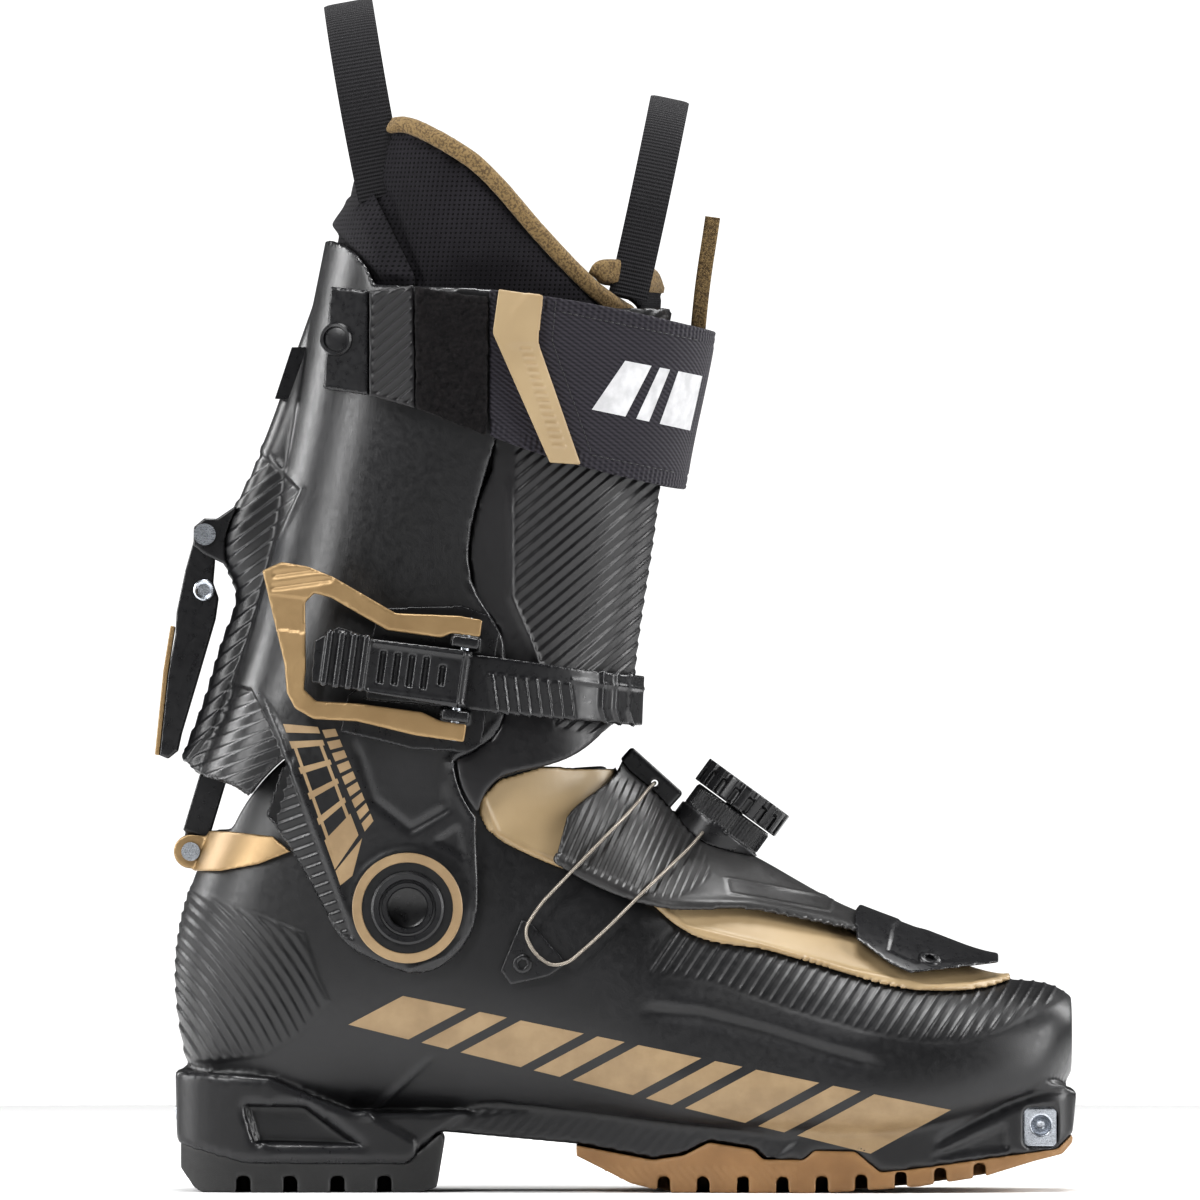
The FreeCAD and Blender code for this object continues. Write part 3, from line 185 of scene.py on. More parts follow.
def bell(t, middle, width, power=2):
    """1 at the middle, falling to 0 a few widths away."""
    return np.exp(-(((t - middle) / width) ** power))


def outward(pts, nrm, reach=None, more=0.0, start=0.05):
    """1 where a surface looks away from the boot's middle plane and 0 where it looks inwards.

    It eases off within reach millimetres of the plane. The front or back is let in by more."""
    side = nrm[:, 1] * np.sign(pts[:, 1])
    if reach:
        side = side * np.minimum(1, abs(pts[:, 1]) / reach)
    return smoothstep((side + more + start) / 0.3)


def lateral_face(nrm, start):
    """1 where a surface looks to the lateral side, from start on."""
    return smoothstep((-nrm[:, 1] - start) / 0.4)


def line_distance(x, z, line):
    """Distance to an open line, and the share of its length where the nearest point lies."""
    best = np.full(x.shape, 1e9)
    share = np.zeros(x.shape)
    line = np.array(line, float)
    lengths = np.linalg.norm(np.diff(line, axis=0), axis=1)
    total, done = lengths.sum(), 0.0
    for a, b, length in zip(line[:-1], line[1:], lengths):
        d = (b - a) / length
        t = np.clip((x - a[0]) * d[0] + (z - a[1]) * d[1], 0, length)
        gap = np.hypot(x - a[0] - t * d[0], z - a[1] - t * d[1])
        closer = gap < best
        best[closer] = gap[closer]
        share[closer] = ((done + t) / total)[closer]
        done += length
    return best, share


def gap_to(x, z, line):
    return line_distance(x, z, line)[0]


def inset(x, z, zone):
    """Distance inside a closed outline, negative outside it."""
    zone = list(zone)
    inside = np.zeros(x.shape, bool)
    for (x0, z0), (x1, z1) in zip(zone, zone[1:] + zone[:1]):
        if z0 == z1:
            continue
        crosses = (z0 > z) != (z1 > z)
        inside ^= crosses & (x < (x1 - x0) * (z - z0) / (z1 - z0) + x0)
    gap = gap_to(x, z, zone + zone[:1])
    return np.where(inside, gap, -gap)


def near_box(x, z, zone, reach):
    """Which points lie within reach of the outline's bounding box."""
    pts = np.array(zone)
    return ((x > pts[:, 0].min() - reach) & (x < pts[:, 0].max() + reach)
            & (z > pts[:, 1].min() - reach) & (z < pts[:, 1].max() + reach))


def step(x, z, zone, height, soft):
    """A raised (or sunk) area with a soft edge."""
    out = np.zeros(x.shape)
    near = near_box(x, z, zone, soft)
    out[near] = height * smoothstep(inset(x[near], z[near], zone) / soft + 0.5)
    return out


FADE = 0.12  # the share of a crease's length over which each end fades


def crease(x, z, line, height, width):
    """A ridge (or groove) along a line, fading at both ends."""
    out = np.zeros(x.shape)
    near = near_box(x, z, line, width * 2)
    gap, share = line_distance(x[near], z[near], line)
    ends = smoothstep(share / FADE) * smoothstep((1 - share) / FADE)
    out[near] = height * bell(gap, 0, width) * ends
    return out


RISE = 0.78  # the share of a rib's pitch over which it rises


def ribs(x, z, zone, angle, pitch, height, soft=2.0, sharp=None, bend=0.0):
    """Fine ribs across an area: overlapping like scales, or with sharp as thin raised lines."""
    out = np.zeros(x.shape)
    near = near_box(x, z, zone, soft)
    px, pz = x[near], z[near]
    mask = smoothstep(inset(px, pz, zone) / soft)
    a = math.radians(angle)
    along = px * math.cos(a) + pz * math.sin(a)
    across = -px * math.sin(a) + pz * math.cos(a)
    if bend:
        across = across + bend * (along - along.mean()) ** 2
    phase = np.mod(across / pitch, 1.0)
    if sharp:
        shape = bell(np.minimum(phase, 1 - phase) * pitch, 0, sharp)
    else:
        shape = np.where(phase < RISE, phase / RISE, (1 - phase) / (1 - RISE)) - 0.5
    out[near] = height * shape * mask
    return out


def push(obj, amount):
    """Moves each vertex along its normal by millimetres."""
    set_coords(obj, coords(obj) + normals(obj) * amount[:, None])
    return obj


WEAR_GAIN = 6  # wear for each millimetre that a vertex stands out from its neighbours


def edge_wear(obj):
    """Marks the convex edges, where handling polishes a moulded surface."""
    mesh = obj.data
    pairs = values(mesh.edges, "vertices", 2, int)
    a, b = pairs[0::2], pairs[1::2]
    pts, nrm = coords(obj), normals(obj)
    total = np.zeros_like(pts)
    count = np.zeros(len(pts))
    for i, j in ((a, b), (b, a)):
        for axis in range(3):
            total[:, axis] += np.bincount(i, pts[j, axis], len(pts))
        count += np.bincount(i, minlength=len(pts))
    away = pts - total / np.maximum(count, 1)[:, None]
    wear = np.clip((away * nrm).sum(1) * WEAR_GAIN, 0, 1)
    for _ in range(2):
        spread = np.zeros(len(pts))
        for i, j in ((a, b), (b, a)):
            spread += np.bincount(i, wear[j], len(pts))
        wear = 0.5 * wear + 0.5 * spread / np.maximum(count, 1)
    layer = mesh.attributes.new("wear", "FLOAT", "POINT")
    layer.data.foreach_set("value", wear.astype(np.float32))
    return obj


LEG_X, LEG_LEAN, LEG_HEIGHT, LEG_RADIUS = -50.0, 0.12, 230, 48.0


def leg_map(obj):
    """A texture map round the leg: arc length and height, in metres."""
    mesh = obj.data
    uv = mesh.uv_layers.new(name="leg")
    pts = coords(obj)
    lean = LEG_X + (pts[:, 2] - LEG_HEIGHT) * LEG_LEAN
    turn = np.arctan2(pts[:, 1], pts[:, 0] - lean)
    index = values(mesh.loops, "vertex_index", 1, int)
    u = turn[index]
    size = values(mesh.polygons, "loop_total", 1, int)
    face = np.repeat(np.arange(len(size)), size)
    high = np.maximum.reduceat(u, values(mesh.polygons, "loop_start", 1, int))[face]
    # a face across the seam behind the leg has one end a whole turn back
    u = np.where(high - u > math.pi, u + 2 * math.pi, u)
    both = np.column_stack((u * LEG_RADIUS * MM, pts[index, 2] * MM))
    uv.data.foreach_set("uv", both.ravel())
    return obj


def dress(obj, body, look):
    """The piece's finish and body."""
    obj.data.materials.clear()
    obj.data.materials.append(look.material)
    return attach(obj, body)


def worn(obj, body, look):
    """A moulded piece with polished edges."""
    return dress(edge_wear(obj), body, look)


def stand_in(obj, node, body, look, name=None):
    """A newly made hard piece in the place of a CAD node."""
    obj.name = name or obj.name
    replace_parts(smooth_by_angle(obj), node)
    return dress(obj, body, look)


def skin_tree(obj):
    """For finding points on a finished piece's surface."""
    mesh = bmesh.new()
    mesh.from_mesh(obj.data)
    tree = BVHTree.FromBMesh(mesh)
    mesh.free()
    return tree


RAY_START = 0.2  # metres from the middle plane, well outside the boot


def side_point(tree, x, z, hand):
    """The outermost point of a surface at x, z on one side (hand -1 lateral, 1 medial), in millimetres."""
    hit = tree.ray_cast(Vector((x * MM, hand * RAY_START, z * MM)), Vector((0, -hand, 0)))
    return None if hit[0] is None else (hit[0] / MM, hit[1])


def between(line, share):
    return tuple(a + (b - a) * share for a, b in zip(*line))


def patch(low, top, start=0, end=1):
    """Four corners: the run from start to end of two side-view lines."""
    return between(low, start), between(low, end), between(top, end), between(top, start)


def rung(rear, front, start, end, low=0, high=1):
    """Four corners: the run from start to end of two lines, and from low to high of the way across."""
    top = (between(rear, start), between(front, start))
    return patch((between(rear, end), between(front, end)), top, low, high)


def decal(tree, corners, hand, lift, depth, rows=14, columns=14):
    """A thin printed patch that follows a surface between four side-view corners."""
    p = [Vector(c) for c in corners]
    top, low = [], []
    for i in range(rows + 1):
        for j in range(columns + 1):
            s, t = i / rows, j / columns
            spot = p[0] * (1 - s) * (1 - t) + p[1] * (1 - s) * t + p[2] * s * t + p[3] * s * (1 - t)
            found = side_point(tree, spot.x, spot.y, hand)
            if found is None:
                return None
            top.append(found[0] + found[1] * lift)
            low.append(found[0] - found[1] * depth)
    count = len(top)
    faces = []
    wide = columns + 1
    for i in range(rows):
        for j in range(columns):
            a = i * wide + j
            quad = (a, a + 1, a + wide + 1, a + wide)
            faces.append(quad)
            faces.append(tuple(count + k for k in reversed(quad)))
    rim = (list(range(columns)) + [columns + i * wide for i in range(rows)]
           + [rows * wide + columns - j for j in range(columns)] + [(rows - i) * wide for i in range(rows)])
    for a, b in zip(rim, rim[1:] + rim[:1]):
        faces.append((b, a, count + a, count + b))
    return facing_out(add_mesh("patch", top + low, faces))


def merged(name, parts):
    """Several meshes become one object."""
    parts = [p for p in parts if p is not None]
    mesh = bmesh.new()
    for part in parts:
        mesh.from_mesh(part.data)
    for part in parts:
        old = part.data
        bpy.data.objects.remove(part)
        bpy.data.meshes.remove(old)
    out = bpy.data.meshes.new(name)
    mesh.to_mesh(out)
    mesh.free()
    return placed(name, out)


def lathe(profile, axis_at, axis, count=48):
    """A turned solid from points of (radius, height along the axis) in millimetres, closed on the axis."""
    axis = Vector(axis).normalized()
    side = axis.orthogonal().normalized()
    other = axis.cross(side)
    origin = Vector(axis_at)
    verts, faces, rows = [], [], []
    for radius, height in profile:
        if radius < 1e-6:
            rows.append([len(verts)] * count)
            verts.append(origin + axis * height)
        else:
            rows.append(list(range(len(verts), len(verts) + count)))
            for k in range(count):
                a = 2 * math.pi * k / count
                verts.append(origin + axis * height + (side * math.cos(a) + other * math.sin(a)) * radius)
    for low, high in zip(rows, rows[1:]):
        for k in range(count):
            quad = [low[k], low[(k + 1) % count], high[(k + 1) % count], high[k]]
            quad = list(dict.fromkeys(quad))
            if len(quad) > 2:
                faces.append(quad)
    return facing_out(add_mesh("turned", verts, faces))


def head(at, axis, radius, height, socket=0.45, count=48):
    """A round screw head with a hexagon socket: rounded rim, and a six-sided hole."""
    r, h, s = radius, height, radius * socket
    body = lathe([(0, -1.0), (r, -1.0), (r, h * 0.45), (r * 0.93, h * 0.8), (r * 0.8, h), (s * 1.12, h),
                  (s, h * 0.85), (s, -0.3 * h), (0, -0.35 * h)], at, axis, count)
    axis = Vector(axis).normalized()
    pts = coords(body)
    rel = pts - np.array(at)
    up = rel @ np.array(axis)
    flat = rel - up[:, None] * np.array(axis)
    dist = np.linalg.norm(flat, axis=1)
    side = np.array(axis.orthogonal().normalized())
    other = np.cross(np.array(axis), side)
    turn = np.arctan2(flat @ other, flat @ side)
    hexed = np.cos(np.mod(turn, math.pi / 3) - math.pi / 6)
    inner = (dist > 1e-4) & (dist < s * 1.05) & (up < h * 0.9)
    flat[inner] *= (0.9 / hexed[inner])[:, None]
    set_coords(body, np.array(at) + up[:, None] * np.array(axis) + flat)
    return body


# --- materials
class Look:
    """One node material, built up from a Principled shader."""

    def __init__(self, name, roughness=0.5, metallic=0.0, **sockets):
        self.name = name
        self.material = bpy.data.materials.new(name)
        self.material.use_nodes = True
        self.tree = self.material.node_tree
        self.shader = self.tree.nodes["Principled BSDF"]
        self.shader.inputs["Metallic"].default_value = metallic
        self.shader.inputs["Roughness"].default_value = roughness
        for socket, value in sockets.items():
            self.shader.inputs[socket.replace("_", " ")].default_value = value
        texture = self.tree.nodes.new("ShaderNodeTexCoord")
        self.place = texture.outputs["Object"]
        self.flat = texture.outputs["UV"]
        self.relief = None

    def put(self, socket, value):
        if isinstance(value, bpy.types.NodeSocket):
            self.tree.links.new(value, socket)
        elif value is not None:
            socket.default_value = value

    def node(self, kind, inputs, **settings):
        """A new node, with its inputs filled in by name or number."""
        node = self.tree.nodes.new("ShaderNode" + kind)
        for setting, value in settings.items():
            setattr(node, setting, value)
        for key, value in inputs.items():
            self.put(node.inputs[key], value)
        return node

    def maths(self, operation, a, b=None):
        return self.node("Math", {0: a, 1: b}, operation=operation).outputs[0]

    def axes(self, vector):
        return self.node("SeparateXYZ", {0: vector}).outputs

    def noise(self, size, detail=2.0, roughness=0.5, stretch=None):
        """A noise whose blotches are about size millimetres across."""
        place = self.place
        if stretch:
            place = self.node("Mapping", {"Scale": stretch, "Vector": place}).outputs[0]
        return self.node("TexNoise", {"Scale": 1.0 / (size * MM), "Detail": detail, "Roughness": roughness,
                                      "Vector": place}).outputs[0]

    def cells(self, size):
        return self.node("TexVoronoi", {"Scale": 1.0 / (size * MM), "Vector": self.place}).outputs[0]

    def scaled(self, value, low, high, to_low, to_high):
        return self.node("MapRange", {0: value, 1: low, 2: high, 3: to_low, 4: to_high}).outputs[0]

    def blend(self, share, a, b):
        """A colour between a and b."""
        a, b = ((*colour, 1.0) if isinstance(colour, tuple) else colour for colour in (a, b))
        return self.node("Mix", {0: share, 6: a, 7: b}, data_type="RGBA").outputs[2]

    def attribute(self, name):
        return self.node("Attribute", {}, attribute_name=name).outputs["Fac"]

    def wave(self, value, pitch):
        """A sine of a length in metres, from -1 to 1, once each pitch millimetres."""
        return self.maths("SINE", self.maths("MULTIPLY", value, 2 * math.pi / (pitch * MM)))

    def colour(self, value):
        self.put(self.shader.inputs["Base Color"], (*value, 1.0) if isinstance(value, tuple) else value)

    def rough(self, value):
        self.put(self.shader.inputs["Roughness"], value)

    def bump(self, height, depth, strength=1.0):
        """Relief of depth millimetres where height goes from 0 to 1."""
        self.relief = self.node("Bump", {"Distance": depth * MM, "Strength": strength, "Height": height,
                                         "Normal": self.relief}).outputs[0]
        self.put(self.shader.inputs["Normal"], self.relief)

    def tone(self, value, low, high, dark, light):
        """The base colour: dark where value is low, light where it is high."""
        self.colour(self.blend(self.scaled(value, low, high, 0, 1), dark, light))


def moulded(name, dark, light, rough, grain=0.35, depth=0.02, clouds=45.0, polish=None):
    """Moulded plastic: a fine pebbled grain, faint flow clouds, and polished edges."""
    look = Look(name, rough)
    cloud = look.noise(clouds, 3)
    base = look.blend(look.scaled(cloud, 0.35, 0.65, 0, 1), dark, light)
    polish = polish or tuple(min(1.0, c * 2.2 + 0.01) for c in light)
    base = look.blend(look.maths("MULTIPLY", look.attribute("wear"), 0.45), base, polish)
    look.colour(base)
    uneven = look.scaled(look.noise(2.2, 4, 0.65), 0.3, 0.7, rough - 0.05, rough + 0.07)
    look.rough(look.maths("SUBTRACT", uneven, look.maths("MULTIPLY", look.attribute("wear"), 0.12)))
    look.bump(look.noise(grain, 2, 0.6), depth)
    look.bump(look.noise(9.0, 2), 0.05, 0.6)
    return look


def metal(name, dark, light, rough, brushed=(1, 1, 8)):
    look = Look(name, rough, 1.0)
    look.tone(look.noise(6.0, 4), 0.3, 0.7, dark, light)
    look.rough(look.scaled(look.noise(1.2, 4, 0.7, brushed), 0.3, 0.7, rough - 0.07, rough + 0.1))
    look.bump(look.noise(0.5, 3, 0.6, brushed), 0.015)
    return look


shell_black = moulded("shell_black", (0.0045, 0.0045, 0.005), (0.008, 0.008, 0.009), 0.40, 0.45, 0.03)
cuff_black = moulded("cuff_black", (0.006, 0.006, 0.0065), (0.011, 0.011, 0.012), 0.33, 0.6, 0.015)
fibre = cuff_black.noise(1.1, 3, 0.6, (3.2, 3.2, 0.5))
cuff_black.bump(cuff_black.scaled(fibre, 0.45, 0.75, 0, 1), 0.02, 0.5)
rib_black = moulded("rib_black", (0.0045, 0.0042, 0.005), (0.0075, 0.007, 0.008), 0.40, 0.5, 0.015)
# the instep tongue's black is a lighter copy of the moulded black: painted light for the top light and
# highlights on its upward-facing surface
tongue_black_painted_light = moulded("tongue_black_painted_light", (0.015, 0.0145, 0.0145), (0.024, 0.0235, 0.0235), 0.38, 0.4, 0.02)
plastic_black = moulded("plastic_black", (0.006, 0.006, 0.007), (0.011, 0.011, 0.012), 0.30, 0.3, 0.01)
gold_soft = moulded("gold_soft", (0.30, 0.222, 0.126), (0.36, 0.272, 0.160), 0.42, 0.5, 0.02, 30.0,
                    (0.22, 0.14, 0.06))
gold_print = moulded("gold_print", (0.225, 0.155, 0.083), (0.275, 0.195, 0.108), 0.50, 0.25, 0.03, 8.0)
gold_coat = Look("gold_coat", 0.36, 0.55)
gold_coat.tone(gold_coat.noise(14.0, 4), 0.3, 0.7, (0.24, 0.160, 0.078), (0.30, 0.206, 0.104))
gold_coat.rough(gold_coat.scaled(gold_coat.noise(0.8, 3, 0.6), 0.3, 0.7, 0.33, 0.44))
gold_coat.bump(gold_coat.noise(0.35, 2, 0.6), 0.02)
steel = metal("steel", (0.40, 0.42, 0.45), (0.58, 0.61, 0.66), 0.27)
rubber_black = moulded("rubber_black", (0.010, 0.010, 0.010), (0.018, 0.018, 0.018), 0.58, 0.4, 0.05)
rubber_tan = moulded("rubber_tan", (0.18, 0.094, 0.035), (0.24, 0.131, 0.052), 0.60, 0.4, 0.05, 18.0,
                     (0.31, 0.185, 0.082))
white_print = moulded("white_print", (0.42, 0.42, 0.43), (0.56, 0.56, 0.57), 0.55, 0.3, 0.05, 5.0)


def mesh_cloth(name, dark, light, pitch, holes, depth, rough=0.85):
    """Knitted mesh: staggered rows of small holes, on the leg map."""
    look = Look(name, rough, Sheen_Weight=0.03, Sheen_Roughness=0.5, Specular_IOR_Level=0.18)
    u, v, _ = look.axes(look.flat)
    one = look.wave(look.maths("ADD", u, v), pitch)
    two = look.wave(look.maths("SUBTRACT", u, v), pitch)
    knit = look.maths("MULTIPLY", one, two)
    hole = look.scaled(knit, holes, holes + 0.35, 0, 1)
    faded = look.scaled(look.noise(24, 3), 0.3, 0.7, 0, 0.5)
    look.colour(look.blend(faded, look.blend(hole, light, dark), dark))
    look.bump(look.maths("SUBTRACT", 1.0, hole), depth)
    look.bump(look.wave(v, 0.42), 0.05, 0.5)
    look.bump(look.noise(0.25, 2), 0.06, 0.6)
    return look


def woven(name, dark, light, pitch, slope, depth, rough=0.75):
    """Woven strap: yarns crossing the strap's length, u along it and v across it, in metres."""
    look = Look(name, rough, Sheen_Weight=0.06, Sheen_Roughness=0.45, Specular_IOR_Level=0.25)
    u, v, _ = look.axes(look.flat)
    lean = look.maths("ADD", u, look.maths("MULTIPLY", v, slope))
    rib = look.scaled(look.wave(lean, pitch), -1, 1, 0, 1)
    yarn = look.scaled(look.wave(v, pitch * 0.55), -1, 1, 0, 1)
    weave = look.maths("ADD", look.maths("MULTIPLY", rib, 0.7), look.maths("MULTIPLY", yarn, 0.3))
    look.colour(look.blend(weave, dark, light))
    look.bump(weave, depth)
    look.bump(look.noise(0.22, 2), 0.05, 0.7)
    return look


liner_mesh = mesh_cloth("liner_mesh", (0.0015, 0.0015, 0.002), (0.017, 0.0155, 0.019), 3.1, 0.25, 0.35)
liner_plain = mesh_cloth("liner_plain", (0.002, 0.002, 0.0025), (0.013, 0.012, 0.0145), 1.5, 0.2, 0.15)
webbing = woven("webbing", (0.004, 0.004, 0.0045), (0.016, 0.015, 0.0175), 1.25, 0.0, 0.35)
strap_weave = woven("strap_weave", (0.007, 0.006, 0.009), (0.036, 0.033, 0.042), 1.9, 1.2, 0.30)
trim_cloth = Look("trim_cloth", 0.88, Sheen_Weight=0.1, Sheen_Roughness=0.4)
nap = trim_cloth.noise(0.8, 3, 0.6)
trim_cloth.tone(nap, 0.40, 0.56, (0.082, 0.052, 0.022), (0.195, 0.132, 0.057))
trim_cloth.bump(nap, 0.35)
fuzz = Look("fuzz", 0.95, Sheen_Weight=0.04, Sheen_Roughness=0.6, Specular_IOR_Level=0.15)
tuft = fuzz.noise(1.3, 5, 0.75)
fuzz.tone(tuft, 0.35, 0.65, (0.002, 0.002, 0.0025), (0.012, 0.010, 0.0105))
fuzz.bump(tuft, 1.0)
cable_look = Look("cable_look", 0.38, 0.8)
cx, _, cz = cable_look.axes(cable_look.place)
twist = cable_look.wave(cable_look.maths("ADD", cx, cable_look.maths("MULTIPLY", cz, 1.6)), 0.9)
cable_look.tone(twist, -1, 1, (0.16, 0.14, 0.12), (0.55, 0.50, 0.43))
cable_look.bump(twist, 0.12)
thread = Look("thread", 0.8, Sheen_Weight=0.2)
thread.colour(thread.blend(thread.noise(0.6, 3), (0.010, 0.010, 0.011), (0.030, 0.029, 0.032)))
thread.bump(thread.noise(0.3, 2), 0.05)
foam = Look("foam", 0.9)
foam.colour(foam.blend(foam.noise(1.2, 4), (0.008, 0.008, 0.009), (0.022, 0.022, 0.024)))
foam.bump(foam.cells(0.9), 0.25)

# --- lower shell
HEEL_RIBS = [(-152, 101), (-140.7, 101), (-102.5, 85.8), (-97.5, 70.6), (-94.2, 63.4), (-104.1, 51.8),
             (-115.7, 45.2), (-132.2, 42.9), (-152, 43.6)]
TOE_RIBS = [(8.1, 71.6), (18.6, 71.0), (34.5, 68.3), (57.6, 60.1), (80.7, 53.5), (100.5, 49.5),
            (113.7, 49.5), (126.9, 53.5), (140.1, 60.1), (152, 66.0), (152, 78), (108.1, 80), (87.3, 86),
            (54.3, 92), (23.9, 92), (12, 82)]
HEEL_BLOCK = [(-152, 40.9), (-138.1, 38.9), (-114, 37.3), (-101.1, 31.7), (-86.3, 26.1), (-81.3, 25.7),
              (-66, 17.0), (-66, 0), (-152, 0)]
BLOCK_CREASE = [(-86.3, 25.9), (-81.3, 25.7), (-59.0, 46.6)]
SWOOSH = [(6.0, 60.5), (27.9, 58.4), (47.7, 53.5), (70.8, 46.2), (90.0, 41.0)]
ARCH = [(-64, 15.5), (-44.7, 29.4), (-38.1, 29.9), (9.1, 24.1), (45.4, 20.1), (60, 18), (50, 8), (-66, 8)]
POCKET = [(-121.5, 29.0), (-103, 28.8), (-85, 15.5), (-118, 16.5)]
TOE_POCKET = [(128.3, 21.9), (129.4, 14.4), (104.4, 11.6), (118, 17.5)]
TOE_GROOVE = [(152, 35.0), (139, 32.0), (129.4, 28.6), (118.0, 23.0), (104, 15.5)]

shell = softened("shell_skin", "lower_shell", 1.1, 4)
pts, nrm, x, z = surface(shell)
ribbed_zone = (inset(x, z, HEEL_RIBS) > -1.5) | (inset(x, z, TOE_RIBS) > -1.5)
finer(shell, ribbed_zone & (nrm[:, 1] * pts[:, 1] > -2) & ((abs(pts[:, 1]) > 15) | (x > 100) | (x < -120)))
pts, nrm, x, z = surface(shell)
centre_x = np.clip(x, -60, 90)
facing = outward(pts, nrm, 12, nrm[:, 0] * np.sign(x - centre_x) * (x != centre_x), 0.15)
top_facing = smoothstep((nrm[:, 2] + 0.1) / 0.3)
shift = ribs(x, z, HEEL_RIBS, -52, 3.3, 0.55, 2.5, bend=0.004) + step(x, z, HEEL_RIBS, 0.35, 2.0)
shift += ribs(x, z, TOE_RIBS, 56, 3.45, 0.42, 3.0, sharp=0.42) + step(x, z, TOE_RIBS, -0.25, 2.5)
shift += step(x, z, HEEL_BLOCK, 1.3, 1.0) + crease(x, z, BLOCK_CREASE, 0.9, 1.1)
shift += crease(x, z, SWOOSH, -1.1, 2.2) + crease(x, z - 4.5, SWOOSH, 0.7, 4.0)
shift += step(x, z, ARCH, -0.9, 1.6) + ribs(x, z, ARCH, 48, 3.2, 0.22, 2.0)
shift += step(x, z, POCKET, -1.5, 1.8) + step(x, z, TOE_POCKET, -1.4, 1.2)
shift += crease(x, z, TOE_GROOVE, -1.5, 1.3)
push(shell, shift * np.maximum(facing, np.where(x > 100, top_facing, 0.0)))
worn(shell, "lower_boot", shell_black)
shell_tree = skin_tree(shell)

# slanted gold bars along both sides
BAND_TOP = [(-70.0, 65.0), (110.4, 27.5)]
BAND_LOW = [(-88.0, 55.5), (84.0, 13.0)]
BAR_SHARES = [(0.000, 0.115), (0.140, 0.190), (0.215, 0.330), (0.355, 0.405), (0.430, 0.545), (0.570, 0.620),
              (0.645, 0.760), (0.785, 0.835), (0.860, 1.000)]

for hand, side in SIDES:
    bars = [decal(shell_tree, patch(BAND_LOW, BAND_TOP, *share), hand, 0.10, 0.4) for share in BAR_SHARES]
    dress(merged("side_bars_" + side, bars), "lower_boot", gold_print)

# soles and inserts; the tan lugs have fine slanted lines on their flanks
worn(softened("heel_lugs", "heel_sole", 0.8, 2), "lower_boot", rubber_black)
lugs = softened("toe_lugs", "forefoot_sole", 0.8, 2)
pts, nrm, x, z = surface(lugs)
texture = ribs(x, z, [(-6, 9), (60, 9), (60, 2), (-6, 2)], -50, 2.2, 0.35, 0.8, sharp=0.4)
push(lugs, texture * (z < 11) * smoothstep(abs(nrm[:, 1]) * 4 - 1))
worn(lugs, "lower_boot", rubber_tan)
dress(softened("toe_plate", "toe_insert", 0.35, 2), "lower_boot", steel)
dress(softened("heel_plate", "heel_insert", 0.4, 2), "lower_boot", steel)

# --- gaiter, instep tongue, anchor
GAITER_EDGE = [(-44.7, 129.4), (-39.8, 117.8), (-31.5, 112.9), (-20, 107.9), (8.1, 98), (22.9, 86.5),
               (47.7, 80.5), (77.4, 72), (103.8, 66.7), (117, 67), (130.2, 70)]
gaiter = softened("gaiter_skin", "gaiter", 0.7, 2)
pts, nrm, x, z = surface(gaiter)
push(gaiter, 0.75 * bell(gap_to(x, z, GAITER_EDGE), 1.1, 0.95) * outward(pts, nrm, start=0.1))
worn(gaiter, "lower_boot", gold_soft)

TONGUE_RIBS = [(-20, 109), (-16, 126), (-2, 138), (16, 136), (27, 121), (33, 104), (20, 96), (8, 97)]
TONGUE_LOW = [(-20, 110.5), (8.1, 97.2), (17.3, 95.4), (45, 95.2), (54.3, 93.4), (72.8, 89.4), (90.6, 84.2)]
BOX = [(36.8, 103.6), (72.1, 97.0), (70.5, 92.6), (37.8, 98.7)]
tongue = softened("instep_tongue", "tongue_instep", 0.8, 3)
pts, nrm, x, z = surface(tongue)
finer(tongue, inset(x, z, TONGUE_RIBS) > -1)
pts, nrm, x, z = surface(tongue)
shift = ribs(x, z, TONGUE_RIBS, 66, 2.6, 0.5, 3.0) + 0.9 * bell(gap_to(x, z, TONGUE_LOW), 0, 1.9) * (z < 112)
shift += 0.35 * bell(gap_to(x, z, BOX + BOX[:1]), 0, 0.45)
push(tongue, shift * outward(pts, nrm, 8, 0.5 * nrm[:, 2], 0.1))
# the lighter black on the instep tongue is painted light, not a different plastic
worn(tongue, "lower_boot", tongue_black_painted_light)

ANCHOR_DISH = [(96, 91), (104, 85), (121, 79), (121, 77), (99, 76), (90, 80), (92, 88)]
anchor = softened("instep_anchor", "tongue_anchor", 0.55, 3)
pts, nrm, x, z = surface(anchor)
push(anchor, step(x, z, ANCHOR_DISH, -0.5, 1.5) * smoothstep((nrm[:, 2] + 0.2) * 4))
worn(anchor, "lower_boot", plastic_black)

# --- screws, pins, rings
anchor_tree = skin_tree(anchor)
heads = []
for hand in (-1, 1):
    at, way = side_point(anchor_tree, 103.5, 76.6, hand)
    heads.append(head(tuple(at - way * 0.2), way, 3.9, 1.5))
stand_in(merged("anchor_heads", heads), "anchor_screws", "lower_boot", plastic_black)
for side in ("lateral", "medial"):
    worn(softened("guide_" + side, "lace_guide_" + side, 0.35), "lower_boot", plastic_black)
heads = [head((-30.6, hand * 49.7, 75.6), (0, hand, 0), 3.2, 1.1, 0.5) for hand in (-1, 1)]
stand_in(merged("guide_heads", heads), "guide_screws", "lower_boot", plastic_black)
worn(softened("guide_upper", "lace_guide_upper", 0.35), "lower_boot", plastic_black)
heel_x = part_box("heel_insert_screws")[1][0] / MM
heads = [head((heel_x - 0.2, y, 26), (-1, 0, 0), 2.6, 1.4, 0.5) for y in (-13, 0, 13)]
stand_in(merged("heel_heads", heads), "heel_insert_screws", "lower_boot", steel)

